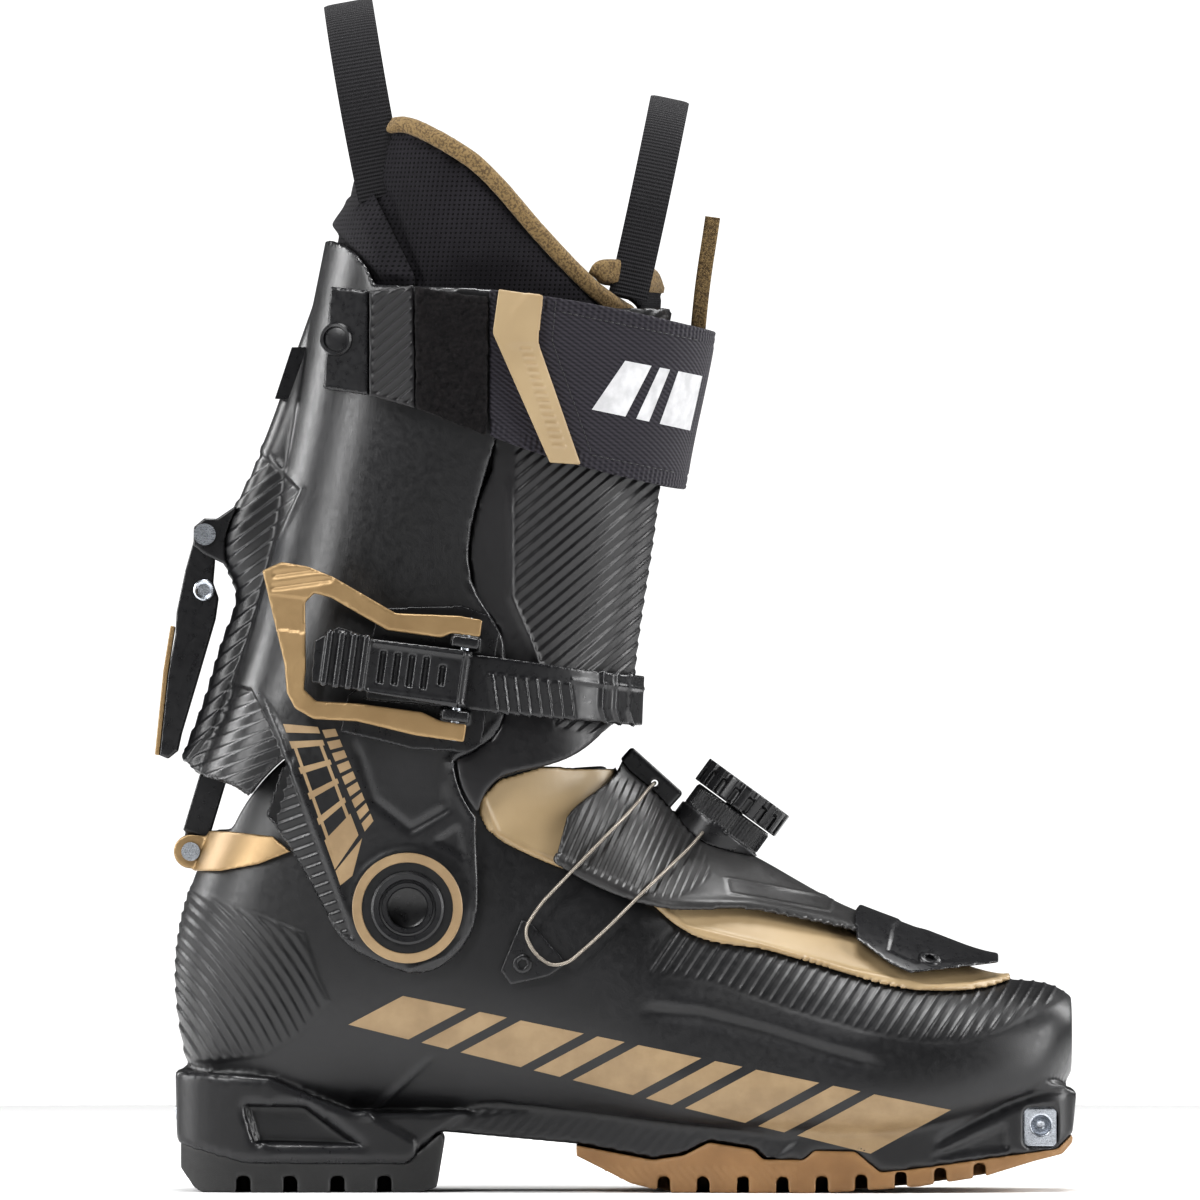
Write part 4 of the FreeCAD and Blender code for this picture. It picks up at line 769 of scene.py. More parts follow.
ANKLE_X, ANKLE_Z = -68.5, 94.0
BUSH = [(6.6, -6.5), (6.6, 0.2), (7.0, 0.7), (8.2, 0.75), (8.5, 0.4), (9.2, 0.3), (9.5, 0.9), (11.2, 1.0),
        (12.0, 0.5), (12.0, -1.6), (10.0, -1.7), (10.0, -10.5), (5.0, -10.5), (5.0, -6.6), (6.6, -6.5)]
BUSH_FLOOR = [(0, -6.3), (5.6, -6.3), (6.5, -5.9), (6.5, -7.2), (0, -7.2)]
RING = [(15.0, -0.6), (15.0, 0.0), (15.3, 0.25), (17.9, 0.25), (18.2, 0.0), (18.2, -0.6), (15.0, -0.6)]


def side_face(node, hand):
    """How far a CAD node reaches to one side, in millimetres."""
    return abs(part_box(node)[0 if hand < 0 else 1][1]) / MM


for hand, side in SIDES:
    at = (ANKLE_X, hand * (side_face("ankle_pivot_" + side, hand) - 1.0), ANKLE_Z)
    turned = [lathe(BUSH, at, (0, hand, 0), 96), lathe(BUSH_FLOOR, at, (0, hand, 0), 64)]
    stand_in(merged("pivot_bush_" + side, turned), "ankle_pivot_" + side, "lower_boot", plastic_black)
    at = (ANKLE_X, hand * (side_face("pivot_ring_" + side, hand) - 0.1), ANKLE_Z)
    ring = lathe(RING, at, (0, hand, 0), 128)
    stand_in(ring, "pivot_ring_" + side, "cuff", gold_print, "pivot_band_" + side)

worn(softened("heel_fork", "heel_bracket", 0.5), "lower_boot", gold_coat)

# CAD nodes that keep their shape and get their finish
for look, kept in ((steel, ("heel_bracket_pin", "buckle_pin", "walk_lever_pin", "strap_anchor_rivet")),
                   (plastic_black, ("bootboard", "dial_carrier", "strap_anchor", "rear_badge")),
                   (foam, ("footbed",)), (cable_look, ("lace_cable",))):
    for node in kept:
        NODES[node].data.materials.clear()
        NODES[node].data.materials.append(look.material)

# --- cuff
SPINE_RIBS = [(-150, 250), (-124, 250), (-104.4, 231.7), (-113.4, 213.5), (-116, 202), (-121.6, 182.5),
              (-126.5, 169.3), (-129, 155), (-150, 140), (-160, 200)]
WING_RIBS = [(-128, 168), (-120.3, 166), (-116.7, 159.1), (-111.4, 149.5), (-99.5, 118), (-86.5, 84),
             (-95, 86), (-106, 106), (-117, 124), (-128, 133), (-144, 140), (-134, 152)]
WING_EDGE = [(-121.0, 169.5), (-115.5, 162.0), (-110.0, 150.5), (-98.0, 118.5), (-85.0, 84.0)]
SPINE_EDGE = [(-122, 251), (-103.2, 232), (-112.0, 213.5), (-114.8, 202), (-120.4, 182.5), (-124.6, 170.5)]
VEE = [(-86.4, 150.5), (-79.7, 129.4), (-67.5, 119.8), (-55.7, 126.5), (-56.2, 136.0)]
DIMPLE = [(-59.5, 116.0), (-51.9, 121.0), (-49.5, 110.1)]
CUFF_FRONT = [(-66.5, 72.5), (-54.3, 76.9), (-48.7, 83.5), (-46.5, 97), (-46.0, 124), (-49.5, 131),
              (-53, 142.6)]
BUCKLE_BAY = [(-53.3, 142.6), (-44.7, 146.5), (-37.1, 155.8), (-36, 182.2), (-40, 190), (-45.4, 198)]
cuff = softened("cuff_skin", "cuff_shell", 1.0, 4)
pts, nrm, x, z = surface(cuff)
ribbed_zone = (inset(x, z, SPINE_RIBS) > -1.5) | (inset(x, z, WING_RIBS) > -1.5)
finer(cuff, ribbed_zone & ((nrm[:, 1] * pts[:, 1] > -3) | (nrm[:, 0] < -0.3)))
pts, nrm, x, z = surface(cuff)
shift = ribs(x, z, SPINE_RIBS, 36, 3.5, 0.55, 1.2) + step(x, z, SPINE_RIBS, -0.4, 0.9)
shift += ribs(x, z, WING_RIBS, 20, 3.4, 0.5, 1.2) + step(x, z, WING_RIBS, -0.8, 0.9)
shift += crease(x, z, WING_EDGE, 0.55, 1.0) + crease(x, z, SPINE_EDGE, 0.4, 0.9)
shift += crease(x, z, VEE, -0.7, 1.2) + step(x, z, DIMPLE, -0.7, 1.2)
shift += 0.45 * bell(gap_to(x, z, CUFF_FRONT), 1.6, 1.1) * (z < 143)
shift += 0.35 * bell(gap_to(x, z, BUCKLE_BAY), 1.4, 0.8) * (z > 140) * (z < 200)
push(cuff, shift * outward(pts, nrm, 10, -0.9 * nrm[:, 0] * (x < -95)))
edge_wear(cuff)
leg_map(cuff)
dress(cuff, "cuff", cuff_black)
cuff_tree = skin_tree(cuff)

# gold blade printed on each side of the cuff, crossed by plain slanted bars, with a row of dashes in front
BLADE_REAR = [(-109.5, 154.6), (-92.4, 106.6)]
BLADE_FRONT = [(-98.0, 153.6), (-84.6, 118.0)]
BLADE_RUNS = [(0.0, 0.06), (0.12, 0.17), (0.30, 0.345), (0.475, 0.52), (0.65, 0.695), (0.80, 1.0)]
BLADE_CUTS = [(0.17, 0.30), (0.345, 0.475), (0.52, 0.65), (0.695, 0.80)]
BLADE_TIP = ((-90.6, 101.4), (-86.6, 104.6), (-83.4, 117.0), (-92.2, 106.2))
DASH_REAR = ((-96.8, 153.0), (-82.2, 118.4))
DASH_FRONT = ((-92.4, 153.4), (-79.4, 122.0))
DASHES = 9
for hand, side in SIDES:
    patches = [(rung(BLADE_REAR, BLADE_FRONT, *run), 10, 10) for run in BLADE_RUNS]
    for cut in BLADE_CUTS:
        for low, high in ((0.06, 0.16), (0.84, 0.94)):
            patches.append((rung(BLADE_REAR, BLADE_FRONT, *cut, low, high), 8, 4))
    patches.append((BLADE_TIP, 10, 10))
    for number in range(DASHES):
        share = (number / DASHES + 0.012, (number + 1) / DASHES - 0.022)
        patches.append((rung(DASH_REAR, DASH_FRONT, *share), 5, 5))
    prints = [decal(cuff_tree, corners, hand, 0.08, 0.3, *grid) for corners, *grid in patches]
    dress(merged("cuff_blade_" + side, prints), "cuff", gold_print)

# --- shin tongue
SHIN_RIBS = [(-33.5, 296), (30, 296), (30, 220), (8.1, 160), (-4, 150), (-20, 153), (-23.3, 169.0),
             (-28.2, 182.2), (-33.2, 195.4), (-33.5, 215.2)]
SHIN_EDGE = [(-20, 150), (-23.3, 169), (-28.2, 182.2), (-34.5, 196.5), (-34.8, 238)]
shin = softened("shin_tongue", "tongue_shin", 0.9, 3)
pts, nrm, x, z = surface(shin)
finer(shin, (inset(x, z, SHIN_RIBS) > -1) & (z < 262)
      & ((nrm[:, 1] * np.sign(pts[:, 1]) > 0.05) | (nrm[:, 0] > 0.3)))
pts, nrm, x, z = surface(shin)
shift = ribs(x, z, SHIN_RIBS, 40, 3.2, 0.5, 1.4) + crease(x, z, SHIN_EDGE, 0.7, 1.0)
push(shin, shift * outward(pts, nrm, 10, nrm[:, 0] * (x > -10)))
edge_wear(shin)
leg_map(shin)
dress(shin, "cuff", rib_black)

# --- buckle
HINGE = np.array((-51.0, -60.8, 169.4))
HINGE_COS, HINGE_SIN = 0.991, 0.136  # of the buckle's slope


def hinge_frame(obj):
    """Coordinates along and across the buckle lever."""
    rel = coords(obj) - HINGE
    along = rel[:, 0] * HINGE_COS - rel[:, 2] * HINGE_SIN
    across = rel[:, 0] * HINGE_SIN + rel[:, 2] * HINGE_COS
    return along, across


worn(softened("buckle_frame", "buckle_base", 0.5), "cuff", plastic_black)

lever = softened("buckle_arm", "buckle_lever", 0.5, 4)
along, across = hinge_frame(lever)
front = lateral_face(normals(lever), 0.2)
tilt = across - 0.28 * (along + 60)
grooves = 0.7 * (bell(tilt, 27.2, 1.0) + bell(tilt, 23.0, 1.0))
held = smoothstep((along + 66.5) / 1.5) * smoothstep((-45.5 - along) / 1.5)
ramp = 0.36 * smoothstep((20.0 - across) / 1.5) * (along < -40) * (across > 8)
push(lever, (-grooves * held - ramp) * front)
worn(lever, "buckle_lever", gold_coat)

pawl = softened("ratchet_tongue", "ratchet_pawl", 0.4, 3)
along, across = hinge_frame(pawl)
front = lateral_face(normals(pawl), 0.1)
shift = np.zeros(len(along))
for middle in (-44.5, -40.4, -36.3, -32.2):
    shift += 1.3 * bell(along, middle, 1.15, 4) * smoothstep((9.6 - abs(across - 1)) / 1.0)
for middle in (-26.2, -21.4, -16.6, -11.8, -6.2):
    tall = 5.6 if middle < -8 else 3.6
    shift -= 1.5 * bell(along, middle, 0.95, 4) * smoothstep((tall - abs(across - 0.4)) / 0.8)
shift += 0.6 * bell(abs(across), 8.0, 0.8) * (along > -30)
push(pawl, shift * front)
worn(pawl, "ratchet", plastic_black)

# the strap's teeth stop short of the hinge, so that the open lever clears them
STRAP_SLOPE, STRAP_X, STRAP_Z = 0.13, -45, 165
TOOTH, TOOTH_RISE = 3.55, 0.8
ladder = softened("ladder_band", "ladder_strap", 0.5, 2)
pts, nrm, x, z = surface(ladder)
lateral = pts[:, 1] < 0
run = x + STRAP_SLOPE * (z - STRAP_Z)
across = abs(z - (STRAP_Z - STRAP_SLOPE * (x - STRAP_X)))
phase = np.mod(run / TOOTH, 1.0)
tooth = np.where(phase < TOOTH_RISE, phase / TOOTH_RISE, (1 - phase) / (1 - TOOTH_RISE))
shown = smoothstep((-13.5 - run) / 0.8) * smoothstep((run + 43.0) / 1.5)
shift = (tooth - 0.3) * shown * smoothstep((7.0 - across) / 0.5) * lateral
for spot in (-5.5, -1.0, 3.5):
    shift += 0.8 * bell(run - 0.18 * across, spot, 0.75) * lateral
shift += 0.4 * bell(across, 8.0, 0.7) * (run > -14)
push(ladder, shift * outward(pts, nrm, 8, nrm[:, 0] * (x > -10)))
worn(ladder, "cuff", plastic_black)

# pawl spring beside the pin: turns round the hinge axis, in steps of a sixteenth
TURNS, STEPS = 5, 16
spring_curve = bpy.data.curves.new("pawl_spring", "CURVE")
spring_curve.dimensions = "3D"
spring_curve.bevel_depth, spring_curve.bevel_resolution = 0.22 * MM, 2
line = spring_curve.splines.new("POLY")
line.points.add(TURNS * STEPS)
for k, point in enumerate(line.points):
    a = 2 * math.pi * k / STEPS
    place = (-53.2 + 1.25 * math.cos(a), -62.2 + 1.25 * math.sin(a), 160.0 + 0.55 * k / STEPS)
    point.co = (*[c * MM for c in place], 1)
spring = placed("pawl_spring", spring_curve)
spring_curve.materials.append(steel.material)
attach(spring, "ratchet")

# --- walk lever
for name, node, voxel, body, look in (
        ("walk_arm", "walk_lever", 0.45, "walk_lever", plastic_black),
        ("walk_plate", "walk_lever_trim", 0.3, "walk_lever", gold_coat),
        ("walk_cheeks", "lever_bracket", 0.4, "cuff", plastic_black),
        ("walk_bar", "lock_bar", 0.5, "lock_bar", plastic_black)):
    worn(softened(name, node, voxel), body, look)
plate = worn(softened("strap_plate", "power_strap_mount", 0.6), "cuff", plastic_black)

STRAP_RIVET = [(0, 0.75), (3.4, 0.75), (3.9, 0.6), (4.1, 1.3), (5.0, 1.2), (5.5, 0.5), (5.5, -0.8)]
at, way = side_point(skin_tree(plate), -91.9, 281.2, -1)
rivet = lathe(STRAP_RIVET, tuple(at), way, 64)
stand_in(rivet, "power_strap_rivet", "cuff", plastic_black, name="strap_rivet")

# steel pin through the lever, flared over at both ends
PIN_END = [(0, 0), (2.0, 0), (2.2, 0.5), (3.0, 0.7), (3.5, 0.3), (3.5, -0.3), (1.9, -0.4), (1.9, -8)]
link_low, link_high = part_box("link_pin")
link_x, link_z = (link_low[0] + link_high[0]) / (2 * MM), (link_low[2] + link_high[2]) / (2 * MM)
ends = [lathe(PIN_END, (link_x, end[1] / MM, link_z), (0, hand, 0), 64)
        for end, hand in ((link_low, -1), (link_high, 1))]
stand_in(merged("link_rivet", ends), "link_pin", "walk_lever", steel)

# --- dial
DIAL_AT = np.array((33.7, 0.0, 118.6))
DIAL_AXIS = np.array((0.5906, 0.0, 0.8070))
DIAL_SIDE = np.array((0.8070, 0.0, -0.5906))
FLUTES, KNURLS = 18, 72


def dial_frame(obj):
    """Height along the dial's axis, distance from it, and the turn round it."""
    rel = coords(obj) - DIAL_AT
    up = rel @ DIAL_AXIS
    a, b = rel @ DIAL_SIDE, rel[:, 1]
    return up, np.hypot(a, b), np.arctan2(b, a)


knob = softened("dial_grip", "dial_knob", 0.35, 2)
up, dist, turn = dial_frame(knob)
tipped = normals(knob) @ DIAL_AXIS
shift = -0.9 * smoothstep(11.6 - dist) + 0.7 * smoothstep((4.2 - dist) / 0.8) + 0.35 * bell(dist, 8.0, 0.5)
side = 1 - smoothstep((abs(tipped) - 0.2) / 0.3)
flutes = smoothstep((np.cos(FLUTES * turn) - 0.1) / 0.5) * smoothstep((up.max() - 2.4 - up) / 0.7)
push(knob, shift * smoothstep((tipped - 0.4) / 0.3) - 0.85 * side * (dist > 12) * flutes)
worn(knob, "dial_knob", plastic_black)
seat = softened("dial_seat", "dial_base", 0.4, 2)
up, dist, turn = dial_frame(seat)
side = smoothstep((dist - 13.2) / 0.6) * smoothstep((up - 1.9) / 0.5) * smoothstep((9.0 - up) / 0.5)
push(seat, 0.3 * np.sin(KNURLS * turn) * side)
worn(seat, "lower_boot", plastic_black)


# --- soft goods
def lumps(obj, size, height, mask=None):
    """Uneven relief, the same on every run."""
    pts = coords(obj) / size
    wave = np.array([noise.noise(Vector(p)) + 0.5 * noise.noise(Vector(p) * 2.1) for p in pts])
    return push(obj, wave * height * (1.0 if mask is None else mask))


def swollen(obj, pressure, frames, limit, mask):
    """Lets the piece swell as cloth under pressure, within limit millimetres and the mask."""
    before = coords(obj)
    cloth = obj.modifiers.new("cloth", "CLOTH")
    cloth.settings.quality = 4
    cloth.settings.mass = 0.15
    cloth.settings.use_pressure = True
    cloth.settings.uniform_pressure_force = pressure
    cloth.settings.tension_stiffness = cloth.settings.compression_stiffness = 12
    cloth.settings.bending_stiffness = 1.5
    cloth.settings.effector_weights.gravity = 0.0
    cloth.collision_settings.use_collision = False
    cloth.collision_settings.use_self_collision = False
    cloth.point_cache.frame_start, cloth.point_cache.frame_end = 1, frames
    scene = bpy.context.scene
    for number in range(1, frames + 1):
        scene.frame_set(number)
    swelled = obj.evaluated_get(bpy.context.evaluated_depsgraph_get())
    after = values(swelled.to_mesh().vertices, "co", 3).reshape(-1, 3) / MM
    swelled.to_mesh_clear()
    obj.modifiers.remove(cloth)
    scene.frame_set(1)
    move = after - before
    far = np.linalg.norm(move, axis=1)
    move *= np.minimum(1, limit / np.maximum(far, 1e-6))[:, None] * mask[:, None]
    set_coords(obj, before + move)
    return obj


def cushioned(obj, look, body="cuff"):
    """A padded piece with the leg map."""
    dress(leg_map(obj), body, look)


def below(line, drop, ahead=0):
    return [(a + ahead, b - drop) for a, b in line]


COLLAR = [(-84.5, 346), (-78.4, 352.8), (-70.5, 354.9), (-58.2, 350.1), (-46.7, 342.9), (-36.8, 333.3),
          (-26.2, 320.8), (-15.7, 309.4), (-6.8, 300.6), (6.4, 291.7)]
liner = softened("liner_sleeve", "liner_cuff", 2.6, 2)
pts, nrm, x, z = surface(liner)
free = smoothstep((z - 301 - np.clip((-60 - x) * 0.5, 0, 14)) / 8.0)
swollen(liner, 4.0, 20, 1.8, free * smoothstep((gap_to(x, z, COLLAR) - 7.0) / 6.0))
cut = liner.modifiers.new("cut", "SUBSURF")
cut.levels = cut.render_levels = 1
smooth_shade(applied(liner))
pts = coords(liner)
pts[:, 2] += 1.6 * bell(gap_to(pts[:, 0], pts[:, 2], below(COLLAR, 4.0)), 0, 3.5)
set_coords(liner, pts)
pts, nrm, x, z = surface(liner)
seam = crease(x, z, [(-84, 341), (-74, 326), (-69, 312), (-63, 296)], -1.6, 1.6)
fold = -0.7 * bell(gap_to(x, z, below(COLLAR, 6.0)), 0, 1.3)
push(liner, (seam + fold) * outward(pts, nrm, more=-nrm[:, 0] * (x < -60), start=0.1))
cushioned(liner, liner_mesh)

PAD = [(-112, 290), (-97, 322), (-87.6, 329), (-80.4, 331), (-66, 302), (-66, 290)]
pad = softened("heel_cushion", "liner_rear_pad", 0.7, 2)
pts, nrm, x, z = surface(pad)
crown = smoothstep(inset(x, z, PAD) / 7.0)
above_cuff = smoothstep((z - 316 + np.clip((x + 92) * 1.1, 0, 18)) / 5.0)
push(pad, 3.2 * crown * outward(pts, nrm, 12, -nrm[:, 0] * (x < -70)) * above_cuff)
cushioned(pad, liner_mesh)

trim = softened("collar_piping", "liner_collar_trim", 0.7, 10, 0.6)
pts, nrm, x, z = surface(trim)
push(trim, 0.9 * smoothstep(1 - gap_to(x, z, below(COLLAR, 2.6, 0.5)) / 3.2))
lumps(trim, 1.1, 0.10)
cushioned(trim, trim_cloth)


# liner tongue, its top edge rolled over in the gold trim and rounded off at both ends
def gold_start(x):
    return 300.4 - 0.16 * np.clip(x + 9, 0, 40)


inner = softened("liner_front", "liner_tongue", 1.2, 3)
pts, nrm, x, z = surface(inner)
start = gold_start(x)
above = z - start
side_out = np.clip(nrm[:, 0] + 0.4 * nrm[:, 2], -1, 1)
push(inner, 0.7 * smoothstep(above) * np.abs(side_out) - 0.6 * bell(above, 0, 0.9))
pts = coords(inner)
roll = pts[:, 2] > start
roll_back, roll_front = pts[roll, 0].min(), pts[roll, 0].max()
spread = np.abs(2 * pts[:, 0] - roll_back - roll_front) / (roll_front - roll_back)
round_end = np.sqrt(np.clip(1 - spread ** 6, 0.12, 1))
pts[:, 2] = np.where(roll, start + (pts[:, 2] - start) * round_end, pts[:, 2])
set_coords(inner, pts)
cushioned(inner, liner_plain)
inner.data.materials.append(trim_cloth.material)
centres = np.array([p.center[:] for p in inner.data.polygons]) / MM
gold_faces = centres[:, 2] > gold_start(centres[:, 0])
inner.data.polygons.foreach_set("material_index", gold_faces.astype(np.int32))

boot = softened("liner_bootie", "liner_boot", 2.0, 2)
cushioned(boot, liner_plain, "lower_boot")


def ribbon(name, path, across, width, thick):
    """A flat strap along a path: rounded edges, with its length and width as the texture map."""
    path = [np.array(p, float) for p in path]
    across = np.array(across, float)
    count = 12
    section = []
    for face in (1, -1):
        for k in range(count + 1):
            s = face * (2 * k / count - 1)
            section.append((s * width / 2, face * thick / 2 * (1 - 0.55 * abs(s) ** 8)))
    verts, faces, length, run = [], [], 0.0, []
    for i, p in enumerate(path):
        ahead, behind = path[min(i + 1, len(path) - 1)], path[max(i - 1, 0)]
        way = (ahead - behind) / np.linalg.norm(ahead - behind)
        wide = across - way * (across @ way)
        wide /= np.linalg.norm(wide)
        up = np.cross(way, wide)
        if i:
            length += np.linalg.norm(p - path[i - 1])
        run.append(length)
        for s, t in section:
            verts.append(p + wide * s + up * t)
    ring = len(section)
    for i in range(len(path) - 1):
        for k in range(ring):
            a, b = i * ring + k, i * ring + (k + 1) % ring
            faces.append((a, b, b + ring, a + ring))
    faces.append(tuple(reversed(range(ring))))
    faces.append(tuple(range((len(path) - 1) * ring, len(path) * ring)))
    obj = add_mesh(name, verts, faces)
    uv = obj.data.uv_layers.new(name="run")
    for loop in obj.data.loops:
        i, k = divmod(loop.vertex_index, ring)
        uv.data[loop.index].uv = (run[i] * MM, section[k][0] * MM)
    return smooth_by_angle(facing_out(obj), 50)


LEG_STEPS, ARC_STEPS, LOOP_THICK = 40, 32, 1.5


def pull_loop(name, node, base, top, width, half_gap, sag):
    """A folded webbing loop standing on two legs, tight at its top and pinched in where it is sewn on."""
    base = np.array(base, float)
    rise = np.array(top, float) - base
    tall = np.linalg.norm(rise)
    way = rise / tall
    front = np.array((way[1], -way[0]))
    leg = tall - half_gap
    path = [(-half_gap, leg * k / LEG_STEPS) for k in range(-1, LEG_STEPS)]
    for k in range(ARC_STEPS + 1):
        a = math.pi * k / ARC_STEPS
        path.append((-half_gap * math.cos(a), leg + half_gap * math.sin(a)))
    path += [(half_gap, leg * k / LEG_STEPS) for k in range(LEG_STEPS - 1, -2, -1)]
    places = []
    for y, h in path:
        share = h / tall
        bow = -math.sin(math.pi * min(max(share, 0), 1)) * np.sign(y)
        spot = base + way * h + front * sag * (share - share * share)
        places.append((spot[0], y + bow, spot[1]))
    strap = ribbon(name, places, (front[0], 0, front[1]), width, LOOP_THICK)
    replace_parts(strap, node)
    return dress(strap, "cuff", webbing)


pull_loop("front_loop", "front_pull_loop", (4.2, 296), (18, 360.8), 13.0, 37.2, 1.0)
pull_loop("rear_loop", "rear_pull_loop", (-77, 329), (-88.5, 392.8), 16.2, 32.2, -2.0)

# --- power strap: woven band, pad, ribbed band, tab
TOP_EDGE = [(-82, 298), (-66.4, 299.6), (-38.3, 297.2), (-20.6, 295), (34, 284), (48, 281)]
LOW_EDGE = [(-80, 262), (-62.5, 256), (-48.7, 252.2), (-36.8, 247.6), (-10.4, 239.2), (26, 231.5), (45, 230)]
TAB_EDGE = [(-22.2, 296), (-23.5, 280.6), (-9.3, 240)]
BORDER = 4.6
band = softened("strap_band", "power_strap", 0.62, 1)
leg_map(band)
pts, nrm, x, z = surface(band)
edge_gap = np.minimum(gap_to(x, z, TOP_EDGE), gap_to(x, z, LOW_EDGE))
layer = band.data.attributes.new("border", "FLOAT", "POINT")
layer.data.foreach_set("value", smoothstep((BORDER - edge_gap) / 0.5).astype(np.float32))
seams = 0.22 * (bell(edge_gap, 1.6, 0.45) + bell(edge_gap, BORDER, 0.45))
seams += 0.2 * bell(gap_to(x, z, TAB_EDGE), 2.6, 0.45) * (pts[:, 1] < 0)
push(band, (0.12 * (edge_gap > BORDER) - seams) * outward(pts, nrm, more=nrm[:, 0] * (x > 0), start=0.1))

# the weave's relief turns into plain ribs inside the border
rib = strap_weave.scaled(strap_weave.wave(strap_weave.axes(strap_weave.flat)[0], 1.5), -1, 1, 0, 1)
rib_relief = strap_weave.node("Bump", {"Distance": 0.35 * MM, "Height": rib}).outputs[0]
choose = strap_weave.node("Mix", {0: strap_weave.attribute("border"), 4: strap_weave.relief, 5: rib_relief},
                          data_type="VECTOR")
strap_weave.put(strap_weave.shader.inputs["Normal"], choose.outputs[1])
dress(band, "cuff", strap_weave)
band_tree = skin_tree(band)

WHITE_TOP = [(3.2, 274.2), (28.6, 269.4)]
WHITE_LOW = [(-7.8, 258.1), (24.6, 251.4)]
marks = [decal(band_tree, patch(WHITE_LOW, WHITE_TOP, *share), -1, 0.12, 0.3, 16, 16)
         for share in ((0.0, 0.34), (0.45, 0.58), (0.69, 1.0))]
dress(merged("strap_marks", marks), "cuff", white_print)

fuzzy = softened("strap_fuzzy", "power_strap_pad", 0.6, 2)
out = lateral_face(normals(fuzzy), -0.2)
lumps(fuzzy, 1.3, 0.55, out)
lumps(fuzzy, 4.0, 0.35, out)
leg_map(fuzzy)
dress(fuzzy, "cuff", fuzz)

RIBBED = [(-80.2, 263.6), (-66.7, 259.4), (-67.2, 298.0), (-80.2, 296.4)]
ribbed = softened("strap_ribbed", "power_strap_band", 0.45, 2)
pts, nrm, x, z = surface(ribbed)
push(ribbed, ribs(x, z, RIBBED, 40, 2.9, 1.1, 0.8) * smoothstep(-nrm[:, 1] / 0.3))
worn(ribbed, "cuff", rib_black)

GRIP = [(-32.0, 279), (-27.5, 279), (-15.5, 244.5), (-21.0, 245.5)]
tab = softened("strap_tab", "power_strap_tab", 0.45, 2)
pts, nrm, x, z = surface(tab)
facet = 0.12 * (x + 35) - 0.10 * (z - 290)
shift = ribs(x, z, GRIP, -3, 2.4, 0.5, 0.8, sharp=0.4)
shift += 0.45 * smoothstep((facet + 0.2) / 0.5) * smoothstep((z - 277) / 4) * smoothstep((x + 38) / 6)
push(tab, shift * lateral_face(nrm, 0.1))
worn(tab, "cuff", gold_soft)

STITCH_PITCH, STITCH_LENGTH, STITCH_LIFT = 2.0, 1.5, 0.1


def stitches(name, line, radius):
    """A row of raised stitches along a side-view line on the strap."""
    line = np.array(line, float)
    lengths = np.linalg.norm(np.diff(line, axis=0), axis=1)
    total = lengths.sum()
    verts, faces = [], []
    for number in range(int(total / STITCH_PITCH)):
        ends = []
        for offset in (-STITCH_LENGTH / 2, 0, STITCH_LENGTH / 2):
            run = min(max((number + 0.5) * STITCH_PITCH + offset, 0), total)
            k = 0
            while k < len(lengths) - 1 and run > lengths[k]:
                run -= lengths[k]
                k += 1
            spot = line[k] + (line[k + 1] - line[k]) * run / lengths[k]
            found = side_point(band_tree, spot[0], spot[1], -1)
            if found is None:
                break
            ends.append((np.array(found[0]), np.array(found[1])))
        if len(ends) < 3:
            continue
        way = ends[2][0] - ends[0][0]
        if np.linalg.norm(way) > STITCH_LENGTH * 3:
            continue
        way /= np.linalg.norm(way)
        first = len(verts)
        for (spot, normal), share in zip(ends, (0.45, 1.0, 0.45)):
            wide, fat = np.cross(way, normal), radius * share
            for a in range(6):
                t = math.radians(60 * a)
                verts.append(spot + normal * (STITCH_LIFT + fat * math.sin(t)) + wide * fat * math.cos(t))
        for k in range(2):
            for a in range(6):
                p, q = first + k * 6 + a, first + k * 6 + (a + 1) % 6
                faces.append((p, q, q + 6, p + 6))
        faces.append(tuple(first + a for a in range(5, -1, -1)))
        faces.append(tuple(first + 12 + a for a in range(6)))
    dress(smooth_shade(add_mesh(name, verts, faces)), "cuff", thread)


stitches("stitch_tab", [(-19.6, 294), (-20.9, 280.6), (-7.5, 242.5)], 0.22)
stitches("stitch_low", [(-8, 243.2), (26, 236.2)], 0.2)
stitches("stitch_high", [(-18, 290.2), (28, 281.0)], 0.2)

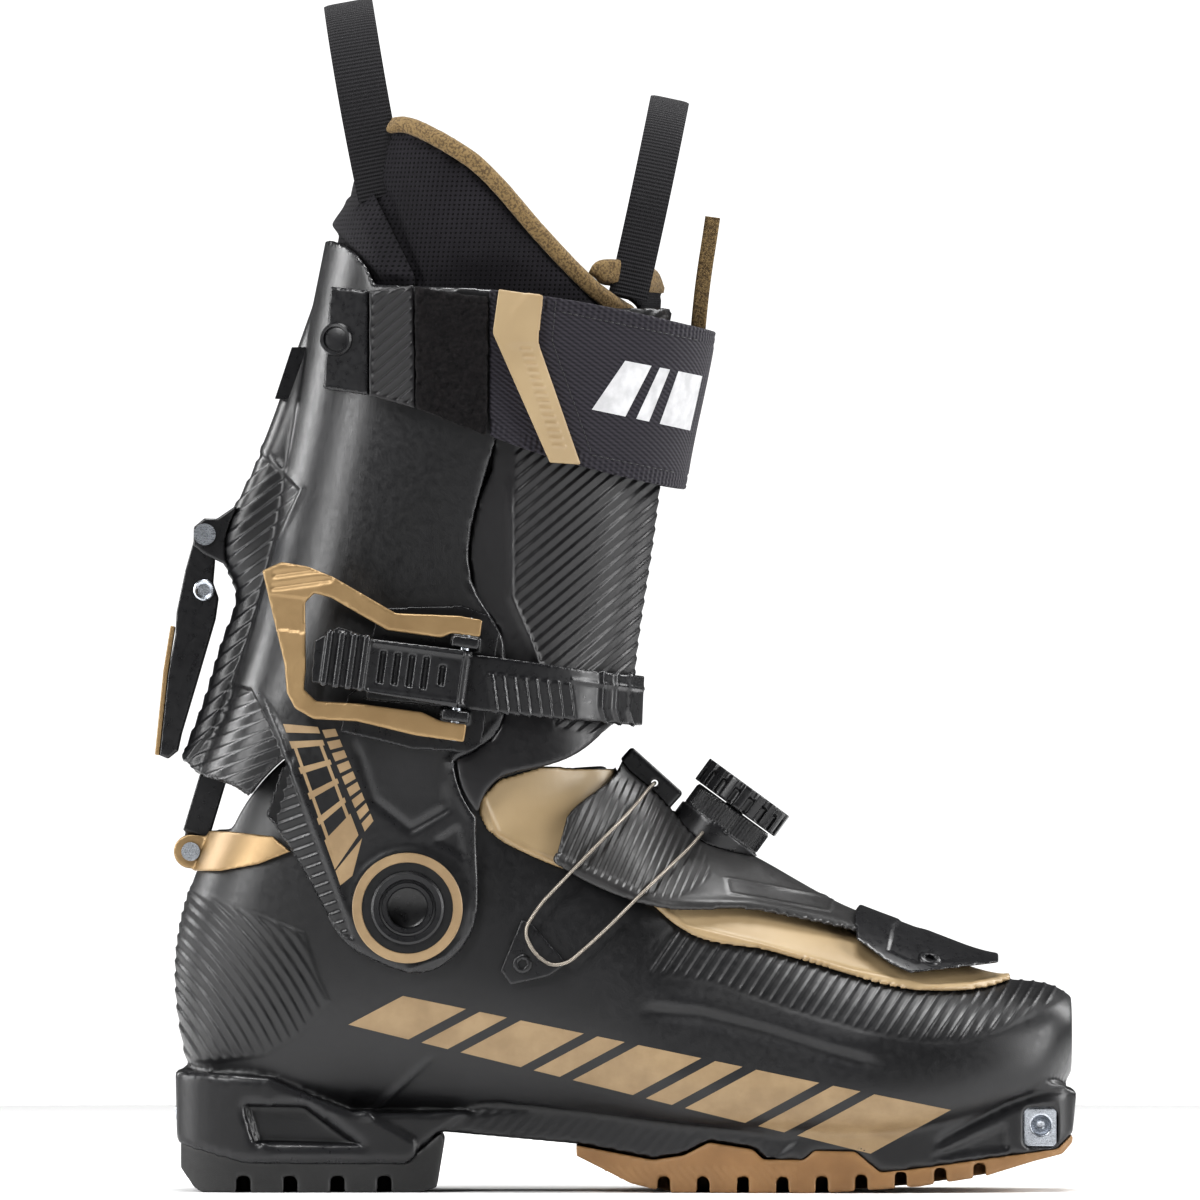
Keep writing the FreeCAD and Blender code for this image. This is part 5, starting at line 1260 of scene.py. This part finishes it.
TAPE = [(24.4 + 7.6 * k / 24 + 0.25 * math.sin(k / 3.2), 0.0, 262.0 + 60.2 * k / 24) for k in range(25)]
tape = ribbon("pull_tape", TAPE, (1, 0, 0), 5.0, 1.2)
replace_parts(tape, "release_tape")
dress(tape, "cuff", trim_cloth)

# --- floor, light
FLOOR_RADIUS, FLOOR_THICK = 1500, 4
disc = [(0, 0), (FLOOR_RADIUS, 0), (FLOOR_RADIUS, -FLOOR_THICK), (0, -FLOOR_THICK)]
floor = lathe(disc, (0, 0, -0.05), (0, 0, 1), 128)
floor.name = "floor"
floor_look = Look("floor_look", 0.65)
floor_look.colour((0.93, 0.93, 0.93))
floor_look.bump(floor_look.noise(2.0, 2), 0.02)
floor.data.materials.append(floor_look.material)
smooth_by_angle(floor)


LIGHT_AIM = Vector((0, 0, 0.18))


def soft_light(name, at, size, power):
    """A rectangular light turned to the middle of the boot."""
    data = bpy.data.lights.new(name, "AREA")
    data.shape, data.size, data.size_y = "RECTANGLE", size[0], size[1]
    data.energy = power
    light = placed(name, data)
    light.location = at
    light.rotation_euler = (LIGHT_AIM - Vector(at)).to_track_quat("-Z", "Y").to_euler()
    light.visible_camera = False
    return light


soft_light("key", (-0.9, -1.5, 1.35), (0.5, 0.8), 20)
soft_light("side_left", (-1.8, -0.55, 0.6), (0.5, 1.4), 22)
soft_light("side_right", (1.8, -0.6, 0.7), (0.5, 1.4), 28)
soft_light("top", (0.1, -0.2, 1.9), (1.0, 0.6), 34)
soft_light("back_left", (-1.4, 0.8, 0.9), (0.5, 1.2), 16)
soft_light("back_right", (1.3, 1.0, 1.1), (0.5, 1.2), 16)
world = bpy.data.worlds.new("studio")
bpy.context.scene.world = world
world.use_nodes = True
sky = world.node_tree.nodes["Background"]
sky.inputs[0].default_value = (1, 1, 1, 1)
rays = world.node_tree.nodes.new("ShaderNodeLightPath")
level = world.node_tree.nodes.new("ShaderNodeMapRange")
level.inputs[3].default_value, level.inputs[4].default_value = 0.06, 1.0
world.node_tree.links.new(rays.outputs["Is Camera Ray"], level.inputs[0])
world.node_tree.links.new(level.outputs[0], sky.inputs[1])
bpy.context.scene.view_settings.view_transform = "Standard"
bpy.context.scene.view_settings.look = "Medium High Contrast"
